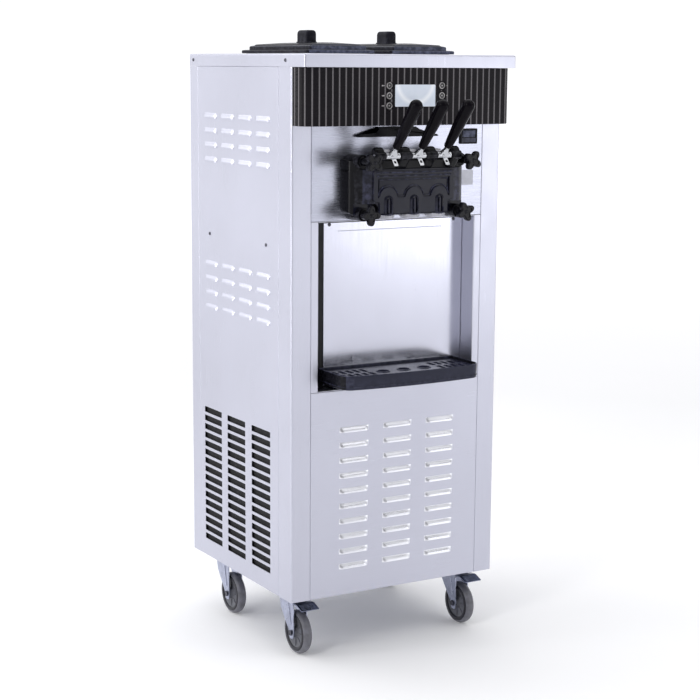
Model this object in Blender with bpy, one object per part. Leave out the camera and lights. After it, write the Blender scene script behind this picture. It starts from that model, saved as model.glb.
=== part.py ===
"""Floor-standing soft serve machine with two hoppers and three draw levers.

Metres, +Z up, -Y is the front. The origin is on the floor, under the middle of the machine.
Every object is one solid piece of the machine; moving pieces have their origin on their axis.
"""
import bpy
import bmesh
from math import cos, pi, radians, sin
from mathutils import Matrix, Vector

# ---- driving dimensions -------------------------------------------------------------------
WIDTH = 0.540            # cabinet, side to side
DEPTH = 0.510            # cabinet, front posts to rear
FRONT = -0.170           # front face of the posts
REAR = FRONT + DEPTH
HALF = WIDTH / 2
BOTTOM = 0.140           # underside of the cabinet, on its casters
CAP_BOTTOM = 1.320       # lower edge of the top deck's skirt
CAP_TOP = 1.348
OVERHANG = 0.0575        # how far the top deck stands forward of the posts
SHEET = 0.0015           # stainless sheet
GAP = 0.0003             # between pieces that touch
SKIN_TOP = CAP_BOTTOM - GAP

POST_FACE = 0.048        # width of a post's front flange
POST_SIDE = 0.060        # depth of a post's side flange
REAR_RETURN = 0.046      # how far the rear shell wraps round each side
FOLD_RADIUS = 0.004

UPPER_SEAM = 0.989       # between the upper front panel and the serving recess
LOWER_SEAM = 0.6125      # between the serving recess and the lower front panel
RECESS_HALF = 0.203
RECESS_DEPTH = 0.050

REAR_VENT_COLUMNS = (-0.145, 0.0, 0.145)
REAR_VENT_ROWS = 6
REAR_VENT_FIELDS = (0.330, 1.120)        # heights of the lowest rows
GLAND_Z = 0.220
GLAND_NECK = 0.009
VENT_COLUMNS = (0.146, 0.2705, 0.3935)   # middles, from the front of the cabinet
VENT_ROWS = 16
VENT_WIDTH, VENT_HEIGHT, VENT_PITCH, VENT_TOP = 0.092, 0.014, 0.021, 0.511
SIDE_LOUVRE_COLUMNS = (0.134, 0.222, 0.310, 0.398)
SIDE_LOUVRE_ROWS = (1.213, 1.179, 1.146, 1.112, 0.868, 0.833, 0.799, 0.765)
SIDE_LOUVRE_WIDTH = 0.068
FRONT_LOUVRE_COLUMNS = (-0.1105, 0.0035, 0.1175)
FRONT_LOUVRE_ROWS = 10
FRONT_LOUVRE_WIDTH, FRONT_LOUVRE_PITCH, FRONT_LOUVRE_TOP = 0.075, 0.035, 0.528
LOUVRE_HEIGHT = 0.012
LOUVRE_RISE = 0.0045

SPOUT_PITCH = 0.066      # between neighbouring draw spouts
CYLINDER_Z = 1.060       # axis of the freezing cylinders
CYLINDER_RADIUS = 0.050
CYLINDER_BORE = 0.043
CYLINDER_LENGTH = 0.288
CYLINDER_FRONT = FRONT - 0.003
CYLINDER_REAR = CYLINDER_FRONT + CYLINDER_LENGTH
SHAFT_RADIUS = 0.006

HEAD_BOTTOM = 1.003
HEAD_TOP = 1.124
HEAD_STEP = 1.105        # the head is set back a little above this height
HEAD_FACE = FRONT - 0.060
HEAD_SET_BACK = FRONT - 0.0585
NOTCH_DEPTH = 0.040      # from the posts to the back of the notches for the lower knobs
NOTCH_HALF, NOTCH_TOP = 0.090, 1.029
PORT_Z = 1.0245          # of the passages from the barrels to the spouts
PISTON_Y = FRONT - 0.045
PISTON_BOTTOM = 1.010
PISTON_RADIUS = 0.0118
BORE_RADIUS = PISTON_RADIUS + 0.0005
PIVOT_Y = FRONT - 0.078
PIVOT_Z = 1.132
PISTON_TOP = PIVOT_Z + 0.0125
SLOT_LOW = PIVOT_Z - 0.008
SLOT_HIGH = PIVOT_Z + 0.0065
PIN_RADIUS = 0.003
LUGS = ((-0.097, 0.0125), (-0.033, 0.0145), (0.033, 0.0145), (0.097, 0.0125))   # middle X, half width
LUG_TOP = 1.151
COLLAR_HALF = 0.0175
COLLAR_RADIUS = 0.0072
LEVER_LEAN = radians(40.5)   # from upright, towards the user
GRIP_START = 0.026       # along the lever, from its pivot
GRIP_END = 0.1568
GRIP_ROUND = 0.0143      # radius of the grip's end
TANG_END = 0.085
TANG_RADIUS = 0.005
TAB_LEAN = radians(40)   # from straight down, towards the user
TAB_LENGTH = 0.027
TAB_HALF = 0.0055
TAB_HOLE = 0.0173        # from the pivot to the middle of the tab's square hole
STUDS = ((-0.126, 1.120), (0.126, 1.120), (-0.122, 1.006), (0.122, 1.006))
STUD_RADIUS = 0.004
BOSS_RADIUS = 0.0150
BOSS_NECK = 0.0090       # radius of a boss in front of the head's face
UPPER_BOSS, LOWER_BOSS = 0.083, 0.064    # how far the bosses stand out of the posts' face
KNOB_TURNS = (0, 12, 45, -20)            # how far each knob is turned at rest, in degrees
KNOB_LENGTH = 0.026
KNOB_HEAD = 0.013        # thickness of a knob's star

HOPPER_X = 0.106         # middle of each hopper and its lid
HOPPER_Y = FRONT + 0.2325
HOPPER_SIZE = (0.150, 0.302)
HOPPER_BOTTOM = 1.165
LID_SIZE = (0.173, 0.325)
LID_RIM_TOP = 1.358
LID_TOP = 1.373
LID_HANDLE_TOP = 1.402

TRAY_HALF = 0.180
TRAY_BOTTOM = 0.625
TRAY_TOP = 0.658
GRID_DROP = 0.010        # from the tray's rim to the ledge under the grid

HOUSING_BOTTOM = 1.196
HOUSING_FACE = FRONT - 0.0565
KEY_RADIUS = 0.0075
SCREEN_X = (-0.047, 0.057)
SCREEN_Z = (1.236, 1.284)
LEFT_KEYS = ((-0.0615, 1.2815), (-0.0615, 1.260), (-0.0615, 1.2385))     # middles, X and Z
RIGHT_KEYS = ((0.0735, 1.2815), (0.0735, 1.260))

FAN_CENTRE = (0.0, FRONT + 0.125, 0.330)

WHEEL_RADIUS = 0.050
WHEEL_HALF = 0.012
CASTER_X = 0.221
CASTER_TRAIL = 0.033     # from the swivel axis to the axle
CASTER_INSET = 0.090     # from the cabinet's front or rear to the swivel axis
CASTER_PLATE = 0.004
AXLE_RADIUS = 0.005
FORK_INNER = 0.0155      # from the middle of a wheel to each leg
FORK_WALL = 0.003
FORK_TOP = BOTTOM - CASTER_PLATE - GAP

ROUND = 20               # facets of a large round piece
SMALL_ROUND = 12         # and of a small one

# ---- materials ----------------------------------------------------------------------------
FINISHES = {
    "stainless": ((0.62, 0.62, 0.66), 0.34, 1.0),
    "polished_steel": ((0.75, 0.75, 0.77), 0.14, 1.0),
    "zinc": ((0.55, 0.56, 0.60), 0.30, 1.0),
    "black_plastic": ((0.020, 0.020, 0.024), 0.25, 0.0),
    "slate_plastic": ((0.060, 0.062, 0.085), 0.35, 0.0),
    "fascia": ((0.025, 0.022, 0.022), 0.30, 0.0),
    "screen": ((0.72, 0.80, 0.88), 0.15, 0.0),
    "key": ((0.060, 0.058, 0.058), 0.40, 0.0),
    "white_plastic": ((0.80, 0.80, 0.80), 0.40, 0.0),
    "tyre_rubber": ((0.10, 0.10, 0.12), 0.55, 0.0),
    "motor_enamel": ((0.05, 0.06, 0.07), 0.45, 0.0),
    "fin_aluminium": ((0.70, 0.71, 0.72), 0.40, 1.0),
}


def finish(name):
    """The shared material of this name, made the first time that it is asked for."""
    material = bpy.data.materials.get(name)
    if material:
        return material
    colour, roughness, metallic = FINISHES[name]
    material = bpy.data.materials.new(name)
    material.use_nodes = True
    shader = material.node_tree.nodes["Principled BSDF"]
    shader.inputs["Base Color"].default_value = (*colour, 1.0)
    shader.inputs["Roughness"].default_value = roughness
    shader.inputs["Metallic"].default_value = metallic
    return material


# ---- shape helpers ------------------------------------------------------------------------
def block(low, high):
    """A box between two corners."""
    bm = bmesh.new()
    size = [h - l for l, h in zip(low, high)]
    middle = [(h + l) / 2 for l, h in zip(low, high)]
    bmesh.ops.create_cube(bm, size=1.0, matrix=Matrix.Translation(middle) @ Matrix.Diagonal((*size, 1.0)))
    return bm


def prism(outline, low, high, axis="Z"):
    """An outline of (a, b) points drawn across an axis and extruded along it from low to high.

    The outline lies in (x, y) for Z, in (x, z) for Y and in (y, z) for X.
    """
    place = {
        "Z": lambda a, b, t: (a, b, t),
        "Y": lambda a, b, t: (a, t, b),
        "X": lambda a, b, t: (t, a, b),
    }[axis]
    bm = bmesh.new()
    face = bm.faces.new([bm.verts.new(place(a, b, low)) for a, b in outline])
    moved = bmesh.ops.extrude_face_region(bm, geom=[face])["geom"]
    shift = Vector(place(0, 0, high)) - Vector(place(0, 0, low))
    bmesh.ops.translate(bm, verts=[v for v in moved if isinstance(v, bmesh.types.BMVert)], vec=shift)
    bmesh.ops.recalc_face_normals(bm, faces=bm.faces)
    return bm


def lathe(profile, start, direction, steps=ROUND, turn=0.0):
    """A solid of revolution. The profile's (radius, distance) points run along the axis; a radius
    of 0 closes the end to a point. A profile that starts and ends off the axis makes a ring."""
    bm = bmesh.new()
    along = Vector(direction).normalized()
    side = along.orthogonal().normalized()
    if abs(along.x) > 0.99:
        side = Vector((0, 0, 1))
    other = along.cross(side)
    rings = []
    for radius, distance in profile:
        centre = Vector(start) + along * distance
        if radius == 0:
            rings.append([bm.verts.new(centre)])
            continue
        ring = []
        for step in range(steps):
            angle = turn + 2 * pi * step / steps
            ring.append(bm.verts.new(centre + (side * cos(angle) + other * sin(angle)) * radius))
        rings.append(ring)
    solid = profile[0][0] == 0 and profile[-1][0] == 0
    pairs = list(zip(rings, rings[1:])) if solid else list(zip(rings, rings[1:] + rings[:1]))
    for lower, upper in pairs:
        for step in range(steps):
            after = (step + 1) % steps
            if len(lower) == 1:
                bm.faces.new((lower[0], upper[after], upper[step]))
            elif len(upper) == 1:
                bm.faces.new((lower[step], lower[after], upper[0]))
            else:
                bm.faces.new((lower[step], lower[after], upper[after], upper[step]))
    bmesh.ops.recalc_face_normals(bm, faces=bm.faces)
    return bm


def rod(start, end, radius, steps=SMALL_ROUND):
    """A plain cylinder between two points."""
    along = Vector(end) - Vector(start)
    length = along.length
    bm = bmesh.new()
    turn = along.to_track_quat("Z", "Y").to_matrix().to_4x4()
    place = Matrix.Translation((Vector(start) + Vector(end)) / 2) @ turn
    bmesh.ops.create_cone(bm, cap_ends=True, segments=steps, radius1=radius, radius2=radius,
                          depth=length, matrix=place)
    return bm


def rounded(half_x, half_y, radius, steps=4, centre=(0.0, 0.0)):
    """The outline of a rectangle with round corners."""
    points = []
    for index, (sx, sy) in enumerate(((1, 1), (-1, 1), (-1, -1), (1, -1))):
        for step in range(steps + 1):
            angle = pi / 2 * (index + step / steps)
            x = sx * (half_x - radius) + radius * cos(angle)
            y = sy * (half_y - radius) + radius * sin(angle)
            points.append((centre[0] + x, centre[1] + y))
    return points


def piece(name, bm, material, origin=(0.0, 0.0, 0.0), parent=None, smooth=True):
    """Turns a bmesh into a named object, with its origin at the given world point."""
    bmesh.ops.translate(bm, verts=bm.verts, vec=-Vector(origin))
    mesh = bpy.data.meshes.new(name)
    bm.to_mesh(mesh)
    bm.free()
    mesh.materials.append(finish(material))
    if smooth:
        mesh.shade_smooth()
        mesh.set_sharp_from_angle(angle=radians(35))
    obj = bpy.data.objects.new(name, mesh)
    bpy.context.scene.collection.objects.link(obj)
    obj.location = origin
    if parent:
        obj.parent = parent
        obj.location = Vector(origin) - parent.location
    return obj


def tool(obj, bm, operation):
    """Adds a Boolean to an object; its operand is a hidden wire guide that goes with the object."""
    guide = piece(f"{obj.name}_guide_{len(obj.modifiers)}", bm, "zinc", smooth=False)
    guide.display_type = "WIRE"
    guide.hide_render = True
    modifier = obj.modifiers.new(operation.lower(), "BOOLEAN")
    modifier.operation = operation
    modifier.solver = "EXACT"
    modifier.object = guide


def cut(obj, *shapes):
    for bm in shapes:
        tool(obj, bm, "DIFFERENCE")


def fuse(obj, *shapes):
    for bm in shapes:
        tool(obj, bm, "UNION")


def together(shapes):
    """Several separate shapes as one operand."""
    whole = bmesh.new()
    for bm in shapes:
        mesh = bpy.data.meshes.new("joined")
        bm.to_mesh(mesh)
        bm.free()
        whole.from_mesh(mesh)
        bpy.data.meshes.remove(mesh)
    return whole


def eased(bm, width, segments):
    """Rounds the edges round the top and the bottom of an upright prism."""
    edges = [e for e in bm.edges if abs(e.verts[0].co.z - e.verts[1].co.z) < 1e-6]
    bmesh.ops.bevel(bm, geom=edges, offset=width, segments=segments, profile=0.5, affect="EDGES")
    return bm


def soften(obj, width, segments=2, angle=30):
    """Rounds the sharp edges of an object."""
    bevel = obj.modifiers.new("bevel", "BEVEL")
    bevel.width = width
    bevel.segments = segments
    bevel.limit_method = "ANGLE"
    bevel.angle_limit = radians(angle)


def sides():
    """The two sides of the machine: a name and the sign of X."""
    return (("left", -1), ("right", 1))


def spouts():
    """The three draw spouts: a name and X."""
    return (("left", -SPOUT_PITCH), ("centre", 0.0), ("right", SPOUT_PITCH))


# ---- cabinet ------------------------------------------------------------------------------
def caster_spots():
    """Each caster's name and the place of its swivel axis."""
    for end, y in (("front", FRONT + CASTER_INSET), ("rear", REAR - CASTER_INSET)):
        for side, sign in sides():
            yield f"{end}_{side}", sign * CASTER_X, y


def base_pan():
    inset = SHEET + GAP
    half = HALF - inset
    front, rear = FRONT + inset, REAR - inset
    wall, floor, height = 0.002, 0.0025, 0.025
    centre = (0.0, (front + rear) / 2)
    outline = rounded(half, (rear - front) / 2, FOLD_RADIUS, 1, centre)
    pan = piece("base_pan", prism(outline, BOTTOM, BOTTOM + height), "zinc")
    cut(pan, block((-half + wall, front + wall, BOTTOM + floor), (half - wall, rear - wall, 1.0)))
    plate_x, plate_y = 0.040, 0.045
    plates = [block((x - plate_x, y - plate_y, BOTTOM - CASTER_PLATE),
                    (x + plate_x, y + plate_y, BOTTOM + 0.001))
              for _, x, y in caster_spots()]
    fuse(pan, together(plates))


def folded_angle(sign):
    """Plan outline of a front post: a sheet folded round the cabinet's front corner."""
    outer = []
    for step in range(4):
        angle = pi / 2 * step / 3
        outer.append((HALF - FOLD_RADIUS * (1 - sin(angle)), FRONT + FOLD_RADIUS * (1 - cos(angle))))
    points = [(HALF - POST_FACE, FRONT), *outer, (HALF, FRONT + POST_SIDE - GAP),
              (HALF - SHEET, FRONT + POST_SIDE - GAP), (HALF - SHEET, FRONT + FOLD_RADIUS),
              (HALF - FOLD_RADIUS, FRONT + SHEET), (HALF - POST_FACE, FRONT + SHEET)]
    return [(sign * x, y) for x, y in points]


def front_posts():
    for side, sign in sides():
        piece(f"front_post_{side}", prism(folded_angle(sign), BOTTOM, SKIN_TOP), "stainless")


def slots(columns, rows, width, height, place):
    """A field of slot cutters. place(column, row) gives the slot's middle along and up the panel;
    the slots run through a panel that faces X or Y, as place's third value says."""
    shapes = []
    for column in columns:
        for row in rows:
            along, up, axis, depth = place(column, row)
            low_a, high_a = along - width / 2, along + width / 2
            low_z, high_z = up - height / 2, up + height / 2
            reach = 0.004
            if axis == "X":
                shapes.append(block((depth - reach, low_a, low_z), (depth + reach, high_a, high_z)))
            else:
                shapes.append(block((low_a, depth - reach, low_z), (high_a, depth + reach, high_z)))
    return together(shapes)


def rear_shell():
    wall = SHEET
    outline = [(-HALF, REAR - REAR_RETURN), (-HALF, REAR - FOLD_RADIUS), (-HALF + FOLD_RADIUS, REAR),
               (HALF - FOLD_RADIUS, REAR), (HALF, REAR - FOLD_RADIUS), (HALF, REAR - REAR_RETURN),
               (HALF - wall, REAR - REAR_RETURN), (HALF - wall, REAR - FOLD_RADIUS),
               (HALF - FOLD_RADIUS, REAR - wall), (-HALF + FOLD_RADIUS, REAR - wall),
               (-HALF + wall, REAR - FOLD_RADIUS), (-HALF + wall, REAR - REAR_RETURN)]
    shell = piece("rear_shell", prism(outline, BOTTOM, SKIN_TOP), "stainless")
    fields = [slots(REAR_VENT_COLUMNS, range(REAR_VENT_ROWS), 0.110, 0.012,
                    lambda x, row: (x, low + 0.026 * row, "Y", REAR)) for low in REAR_VENT_FIELDS]
    gland_hole = rod((0, REAR - 0.01, GLAND_Z), (0, REAR + 0.01, GLAND_Z), GLAND_NECK + 0.001)
    cut(shell, together(fields + [gland_hole]))


def louvre(width, along, top, face, axis, outward):
    """A pressed hood that stands out of a panel: flush at its top, proud at its lower lip."""
    sunk = face - outward * SHEET / 2
    lip = face + outward * LOUVRE_RISE
    section = [(sunk, top), (face, top), (lip, top - LOUVRE_HEIGHT), (sunk, top - LOUVRE_HEIGHT)]
    low, high = along - width / 2, along + width / 2
    if axis == "X":
        return prism(section, low, high, "Y")
    return prism(section, low, high, "X")


def side_panels():
    low, high = FRONT + POST_SIDE + GAP, REAR - REAR_RETURN - GAP
    for side, sign in sides():
        face = sign * HALF
        inner = sign * (HALF - SHEET)
        panel = piece(f"{side}_panel", block((min(face, inner), low, BOTTOM),
                                             (max(face, inner), high, SKIN_TOP)), "stainless")
        vents = slots(VENT_COLUMNS, range(VENT_ROWS), VENT_WIDTH, VENT_HEIGHT,
                      lambda y, row: (FRONT + y, VENT_TOP - VENT_HEIGHT / 2 - VENT_PITCH * row, "X", face))
        hoods = [louvre(SIDE_LOUVRE_WIDTH, FRONT + y, top, face, "X", sign)
                 for y in SIDE_LOUVRE_COLUMNS for top in SIDE_LOUVRE_ROWS]
        cut(panel, vents)
        fuse(panel, together(hoods))


def lower_front_panel():
    half = HALF - POST_FACE - GAP
    sheet = block((-half, FRONT, BOTTOM), (half, FRONT + SHEET, LOWER_SEAM - GAP))
    panel = piece("lower_front_panel", sheet, "stainless")
    hoods = [louvre(FRONT_LOUVRE_WIDTH, x, FRONT_LOUVRE_TOP - row * FRONT_LOUVRE_PITCH, FRONT, "Y", -1)
             for x in FRONT_LOUVRE_COLUMNS for row in range(FRONT_LOUVRE_ROWS)]
    fuse(panel, together(hoods))


def upper_front_panel():
    """The plate that the dispensing head bolts to, with its four welded studs."""
    half = HALF - POST_FACE - GAP
    sheet = block((-half, FRONT, UPPER_SEAM + GAP), (half, FRONT + SHEET, SKIN_TOP))
    panel = piece("upper_front_panel", sheet, "stainless")
    reach = 0.01
    radius = CYLINDER_RADIUS + 0.001
    openings = [rod((x, FRONT - reach, CYLINDER_Z), (x, FRONT + reach, CYLINDER_Z), radius, 28)
                for x in (-SPOUT_PITCH, SPOUT_PITCH)]
    cut(panel, together(openings))
    studs = [rod((x, FRONT + SHEET / 2, z), (x, boss_end(z) - 0.019, z), STUD_RADIUS) for x, z in STUDS]
    fuse(panel, together(studs))


def splash_panel():
    """The liner of the serving recess: back, sides with front flanges, shelf and ceiling."""
    edge = HALF - POST_FACE - GAP
    wall = 0.0012
    front, back = FRONT, FRONT + RECESS_DEPTH
    low, high = LOWER_SEAM + GAP, UPPER_SEAM - GAP
    half = RECESS_HALF
    outline = [(-edge, front), (-half, front), (-half, back), (half, back), (half, front), (edge, front),
               (edge, front + wall), (half + wall, front + wall), (half + wall, back + wall),
               (-half - wall, back + wall), (-half - wall, front + wall), (-edge, front + wall)]
    liner = piece("splash_panel", prism(outline, low, high), "stainless")
    shelf = block((-half - wall / 2, front, low), (half + wall / 2, back + wall / 2, low + wall))
    ceiling = block((-half - wall / 2, front, high - wall), (half + wall / 2, back + wall / 2, high))
    fuse(liner, shelf, ceiling)


def hopper_places():
    for side, sign in sides():
        yield side, sign * HOPPER_X


def top_deck():
    front = FRONT - OVERHANG
    deck = piece("top_deck", block((-HALF, front, CAP_BOTTOM), (HALF, REAR, CAP_TOP)), "stainless")
    wall = SHEET
    cut(deck, block((-HALF + wall, front + wall, 1.0), (HALF - wall, REAR - wall, CAP_TOP - wall)))
    half_x, half_y = HOPPER_SIZE[0] / 2 + 0.001, HOPPER_SIZE[1] / 2 + 0.001
    cut(deck, together([prism(rounded(half_x, half_y, 0.020, 3, (x, HOPPER_Y)), 1.30, 1.40)
                        for _, x in hopper_places()]))


# ---- control fascia -----------------------------------------------------------------------
def fascia_outline(inset):
    """Plan of the fascia: a slightly bowed front with round corners, open at the back."""
    half, corner, bow = 0.268 - inset, 0.034, 0.004
    face = HOUSING_FACE + inset
    points = [(half, FRONT - GAP)]
    for step in range(6):
        angle = pi / 2 * step / 5
        points.append((half - corner * (1 - cos(angle)), face + bow + corner * (1 - sin(angle))))
    reach = half - corner
    for step in range(1, 8):
        x = reach * (1 - 2 * step / 8)
        points.append((x, face + bow * (x / reach) ** 2))
    points += [(-x, y) for x, y in reversed(points[:7])]
    return points


def control_housing():
    wall = 0.003
    housing = piece("control_housing", prism(fascia_outline(0.0), HOUSING_BOTTOM, SKIN_TOP), "fascia")
    inside = prism(fascia_outline(wall), HOUSING_BOTTOM + wall, SKIN_TOP - wall)
    back = [v for v in inside.verts if v.co.y > FRONT - 0.001]
    bmesh.ops.translate(inside, verts=back, vec=(0, 0.01, 0))
    cut(housing, inside)
    pocket = block((SCREEN_X[0] - GAP, HOUSING_FACE - 0.01, SCREEN_Z[0] - GAP),
                   (SCREEN_X[1] + GAP, HOUSING_FACE + 0.0018, SCREEN_Z[1] + GAP))
    holes = [rod((x, HOUSING_FACE - 0.01, z), (x, HOUSING_FACE + 0.01, z), KEY_RADIUS + GAP, 16)
             for x, z in LEFT_KEYS + RIGHT_KEYS]
    cut(housing, pocket, together(holes))


def display_screen():
    piece("display_screen", block((SCREEN_X[0], HOUSING_FACE + 0.0004, SCREEN_Z[0]),
                                  (SCREEN_X[1], HOUSING_FACE + 0.0015, SCREEN_Z[1])), "screen")


def keys():
    """Round keys that stand a little proud, each with a shoulder behind the fascia."""
    for side, places in (("left", LEFT_KEYS), ("right", RIGHT_KEYS)):
        for number, (x, z) in enumerate(places, 1):
            profile = [(0, 0), (KEY_RADIUS - 0.0006, 0), (KEY_RADIUS, 0.0006), (KEY_RADIUS, 0.0045),
                       (KEY_RADIUS + 0.002, 0.0045), (KEY_RADIUS + 0.002, 0.006), (0, 0.006)]
            start = (x, HOUSING_FACE - 0.0008, z)
            piece(f"key_{side}_{number}", lathe(profile, start, (0, 1, 0), 16), "key", origin=start)


# ---- hoppers ------------------------------------------------------------------------------
def hoppers():
    """A basin hung in the deck by its flange, with a feed tube down to the freezing cylinder."""
    wall, flange = 0.0012, 0.0012
    half_x, half_y = HOPPER_SIZE[0] / 2, HOPPER_SIZE[1] / 2
    tube_y = HOPPER_Y - 0.080
    for side, x in hopper_places():
        centre = (x, HOPPER_Y)
        basin = piece(f"hopper_{side}", prism(rounded(half_x, half_y, 0.019, 3, centre),
                                              HOPPER_BOTTOM, CAP_TOP + GAP + flange), "stainless")
        rim_low = CAP_TOP + GAP
        rim = prism(rounded(half_x + 0.008, half_y + 0.008, 0.024, 3, centre), rim_low, rim_low + flange)
        tube_x = SPOUT_PITCH if x > 0 else -SPOUT_PITCH
        foot = (tube_x, tube_y, CYLINDER_Z + CYLINDER_RADIUS + 0.001)
        fuse(basin, rim, rod(foot, (tube_x, tube_y, HOPPER_BOTTOM + wall), 0.013))
        inside = rounded(half_x - wall, half_y - wall, 0.018, 3, centre)
        cut(basin, prism(inside, HOPPER_BOTTOM + wall, 1.5),
            rod((tube_x, tube_y, 1.0), (tube_x, tube_y, HOPPER_BOTTOM + 0.05), 0.011))


def hopper_lids():
    """A stepped lid with a moulded block handle; it lifts off."""
    half_x, half_y = LID_SIZE[0] / 2, LID_SIZE[1] / 2
    low = CAP_TOP + 2 * GAP + 0.0012
    for side, x in hopper_places():
        centre = (x, HOPPER_Y)
        rim = prism(rounded(half_x, half_y, 0.022, 4, centre), low, LID_RIM_TOP)
        lid = piece(f"hopper_lid_{side}", rim, "slate_plastic", origin=(x, HOPPER_Y, low))
        vault = rounded(half_x - 0.011, half_y - 0.011, 0.018, 4, centre)
        raised = prism(vault, LID_RIM_TOP - 0.001, LID_TOP)
        handle = prism(rounded(0.012, 0.025, 0.005, 3, centre), LID_TOP - 0.001, LID_HANDLE_TOP)
        top_edges = [e for e in handle.edges if all(v.co.z > LID_HANDLE_TOP - 1e-5 for v in e.verts)]
        bmesh.ops.bevel(handle, geom=top_edges, offset=0.0045, segments=2, affect="EDGES")
        fuse(lid, eased(raised, 0.003, 1), handle)


# ---- freezing cylinders and drives --------------------------------------------------------
def freezing_cylinders():
    """A barrel that is open at the front, where the head closes it, with a shaft hole behind."""
    rear_wall = 0.006
    for side, sign in sides():
        shaft_hole, wall_front = SHAFT_RADIUS + 0.002, CYLINDER_LENGTH - rear_wall
        profile = [(CYLINDER_BORE, 0), (CYLINDER_RADIUS, 0), (CYLINDER_RADIUS, CYLINDER_LENGTH),
                   (shaft_hole, CYLINDER_LENGTH), (shaft_hole, wall_front), (CYLINDER_BORE, wall_front)]
        start = (sign * SPOUT_PITCH, CYLINDER_FRONT, CYLINDER_Z)
        barrel = piece(f"freezing_cylinder_{side}", lathe(profile, start, (0, 1, 0), 28), "stainless")
        inlet = (sign * SPOUT_PITCH, HOPPER_Y - 0.080)
        cut(barrel, rod((*inlet, CYLINDER_Z + 0.02), (*inlet, CYLINDER_Z + 0.06), 0.010))


def beaters():
    """A shaft with two spiders and three scraper bars, turned by the drive behind the cylinder."""
    bars, spider_radius, bar_radius = 3, 0.0405, 0.0035
    front, rear = CYLINDER_FRONT + 0.012, CYLINDER_REAR - 0.014
    for side, sign in sides():
        x = sign * SPOUT_PITCH
        start = (x, front, CYLINDER_Z)
        shaft = rod((x, front - 0.006, CYLINDER_Z), (x, CYLINDER_REAR + 0.024, CYLINDER_Z), SHAFT_RADIUS)
        beater = piece(f"beater_{side}", shaft, "polished_steel", origin=start)
        spiders = [rod((x, y, CYLINDER_Z), (x, y + 0.004, CYLINDER_Z), spider_radius, ROUND)
                   for y in (front, rear)]
        scrapers = []
        for number in range(bars):
            angle = 2 * pi * number / bars
            bar_x, bar_z = x + 0.036 * sin(angle), CYLINDER_Z + 0.036 * cos(angle)
            scrapers.append(rod((bar_x, front + 0.002, bar_z), (bar_x, rear + 0.002, bar_z), bar_radius, 6))
        fuse(beater, together(spiders), together(scrapers))


def gear_motors():
    """A gearbox with its motor; the beater's shaft ends in the gearbox's socket."""
    front = CYLINDER_REAR + 0.004
    for side, sign in sides():
        x = sign * SPOUT_PITCH
        gearbox = block((x - 0.042, front, CYLINDER_Z - 0.048), (x + 0.042, front + 0.050, CYLINDER_Z + 0.040))
        drive = piece(f"gear_motor_{side}", gearbox, "motor_enamel")
        fuse(drive, rod((x, front + 0.049, CYLINDER_Z), (x, front + 0.170, CYLINDER_Z), 0.040, ROUND))
        socket = rod((x, front - 0.01, CYLINDER_Z), (x, front + 0.024, CYLINDER_Z), SHAFT_RADIUS + 2 * GAP)
        cut(drive, socket)


# ---- refrigeration and electrics ----------------------------------------------------------
def compressor():
    """A welded can on a foot plate, with a domed top."""
    place = (-0.110, FRONT + 0.350, BOTTOM + 0.0031)
    radius, height = 0.085, 0.205
    profile = [(0, 0), (radius * 0.8, 0), (radius, 0.012), (radius, height * 0.66)]
    for step in range(1, 4):
        angle = pi / 2 * step / 4
        profile.append((radius * cos(angle), height * 0.66 + (height * 0.34) * sin(angle)))
    profile.append((0, height))
    piece("compressor", lathe(profile, place, (0, 0, 1)), "motor_enamel")


def condenser():
    """A finned block just behind the front panel, scored by its fins at the front."""
    low, high = (-0.160, FRONT + 0.030, BOTTOM + 0.0031), (0.160, FRONT + 0.085, 0.480)
    block_piece = piece("condenser", block(low, high), "fin_aluminium")
    fins = 15
    pitch = (high[0] - low[0]) / fins
    grooves = [block((low[0] + pitch * (n + 0.3), low[1] - 0.01, low[2] + 0.02),
                     (low[0] + pitch * (n + 0.7), low[1] + 0.040, high[2] - 0.02)) for n in range(fins)]
    cut(block_piece, together(grooves))


def condenser_fan():
    """Five flat pitched blades on a hub; it turns about the Y axis."""
    bore, radius, half = 0.003 + GAP, 0.026, 0.012
    hub = lathe([(bore, -half), (radius, -half), (radius, half), (bore, half)], FAN_CENTRE, (0, 1, 0))
    fan = piece("condenser_fan", hub, "black_plastic", origin=FAN_CENTRE)
    blades = []
    for number in range(5):
        blade = block((0.020, -0.0012, -0.026), (0.112, 0.0012, 0.026))
        pitch = Matrix.Rotation(radians(22), 4, "X")
        turn = Matrix.Rotation(2 * pi * number / 5, 4, "Y")
        blade.transform(Matrix.Translation(FAN_CENTRE) @ turn @ pitch)
        blades.append(blade)
    fuse(fan, together(blades))


def fan_motor():
    """The fan's motor on its bracket, with the shaft that carries the fan."""
    x, y, z = FAN_CENTRE
    front = y + 0.016
    motor = piece("fan_motor", rod((x, front, z), (x, front + 0.060, z), 0.036, ROUND), "motor_enamel")
    shaft = rod((x, y - 0.010, z), (x, front + 0.001, z), 0.003)
    bracket = block((x - 0.020, front + 0.040, BOTTOM + 0.0031), (x + 0.020, front + 0.044, z - 0.020))
    foot = block((x - 0.020, front + 0.040, BOTTOM + 0.0031), (x + 0.020, front + 0.070, BOTTOM + 0.0061))
    fuse(motor, shaft, bracket, foot)


def control_box():
    """The case of the electrical controls, held to the inside of the right panel's frame."""
    low, high = (0.150, FRONT + 0.120, 0.640), (0.260, FRONT + 0.320, 0.840)
    box = piece("control_box", block(low, high), "zinc")
    soften(box, 0.003, 1)


def cable_gland():
    """A screwed gland in the rear shell where the mains cord enters."""
    profile = [(0.005, -0.014), (GLAND_NECK, -0.014), (GLAND_NECK, GAP), (0.0135, GAP), (0.0135, 0.006),
               (0.009, 0.012), (0.005, 0.012)]
    piece("cable_gland", lathe(profile, (0, REAR, GLAND_Z), (0, 1, 0), SMALL_ROUND), "black_plastic")


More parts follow.
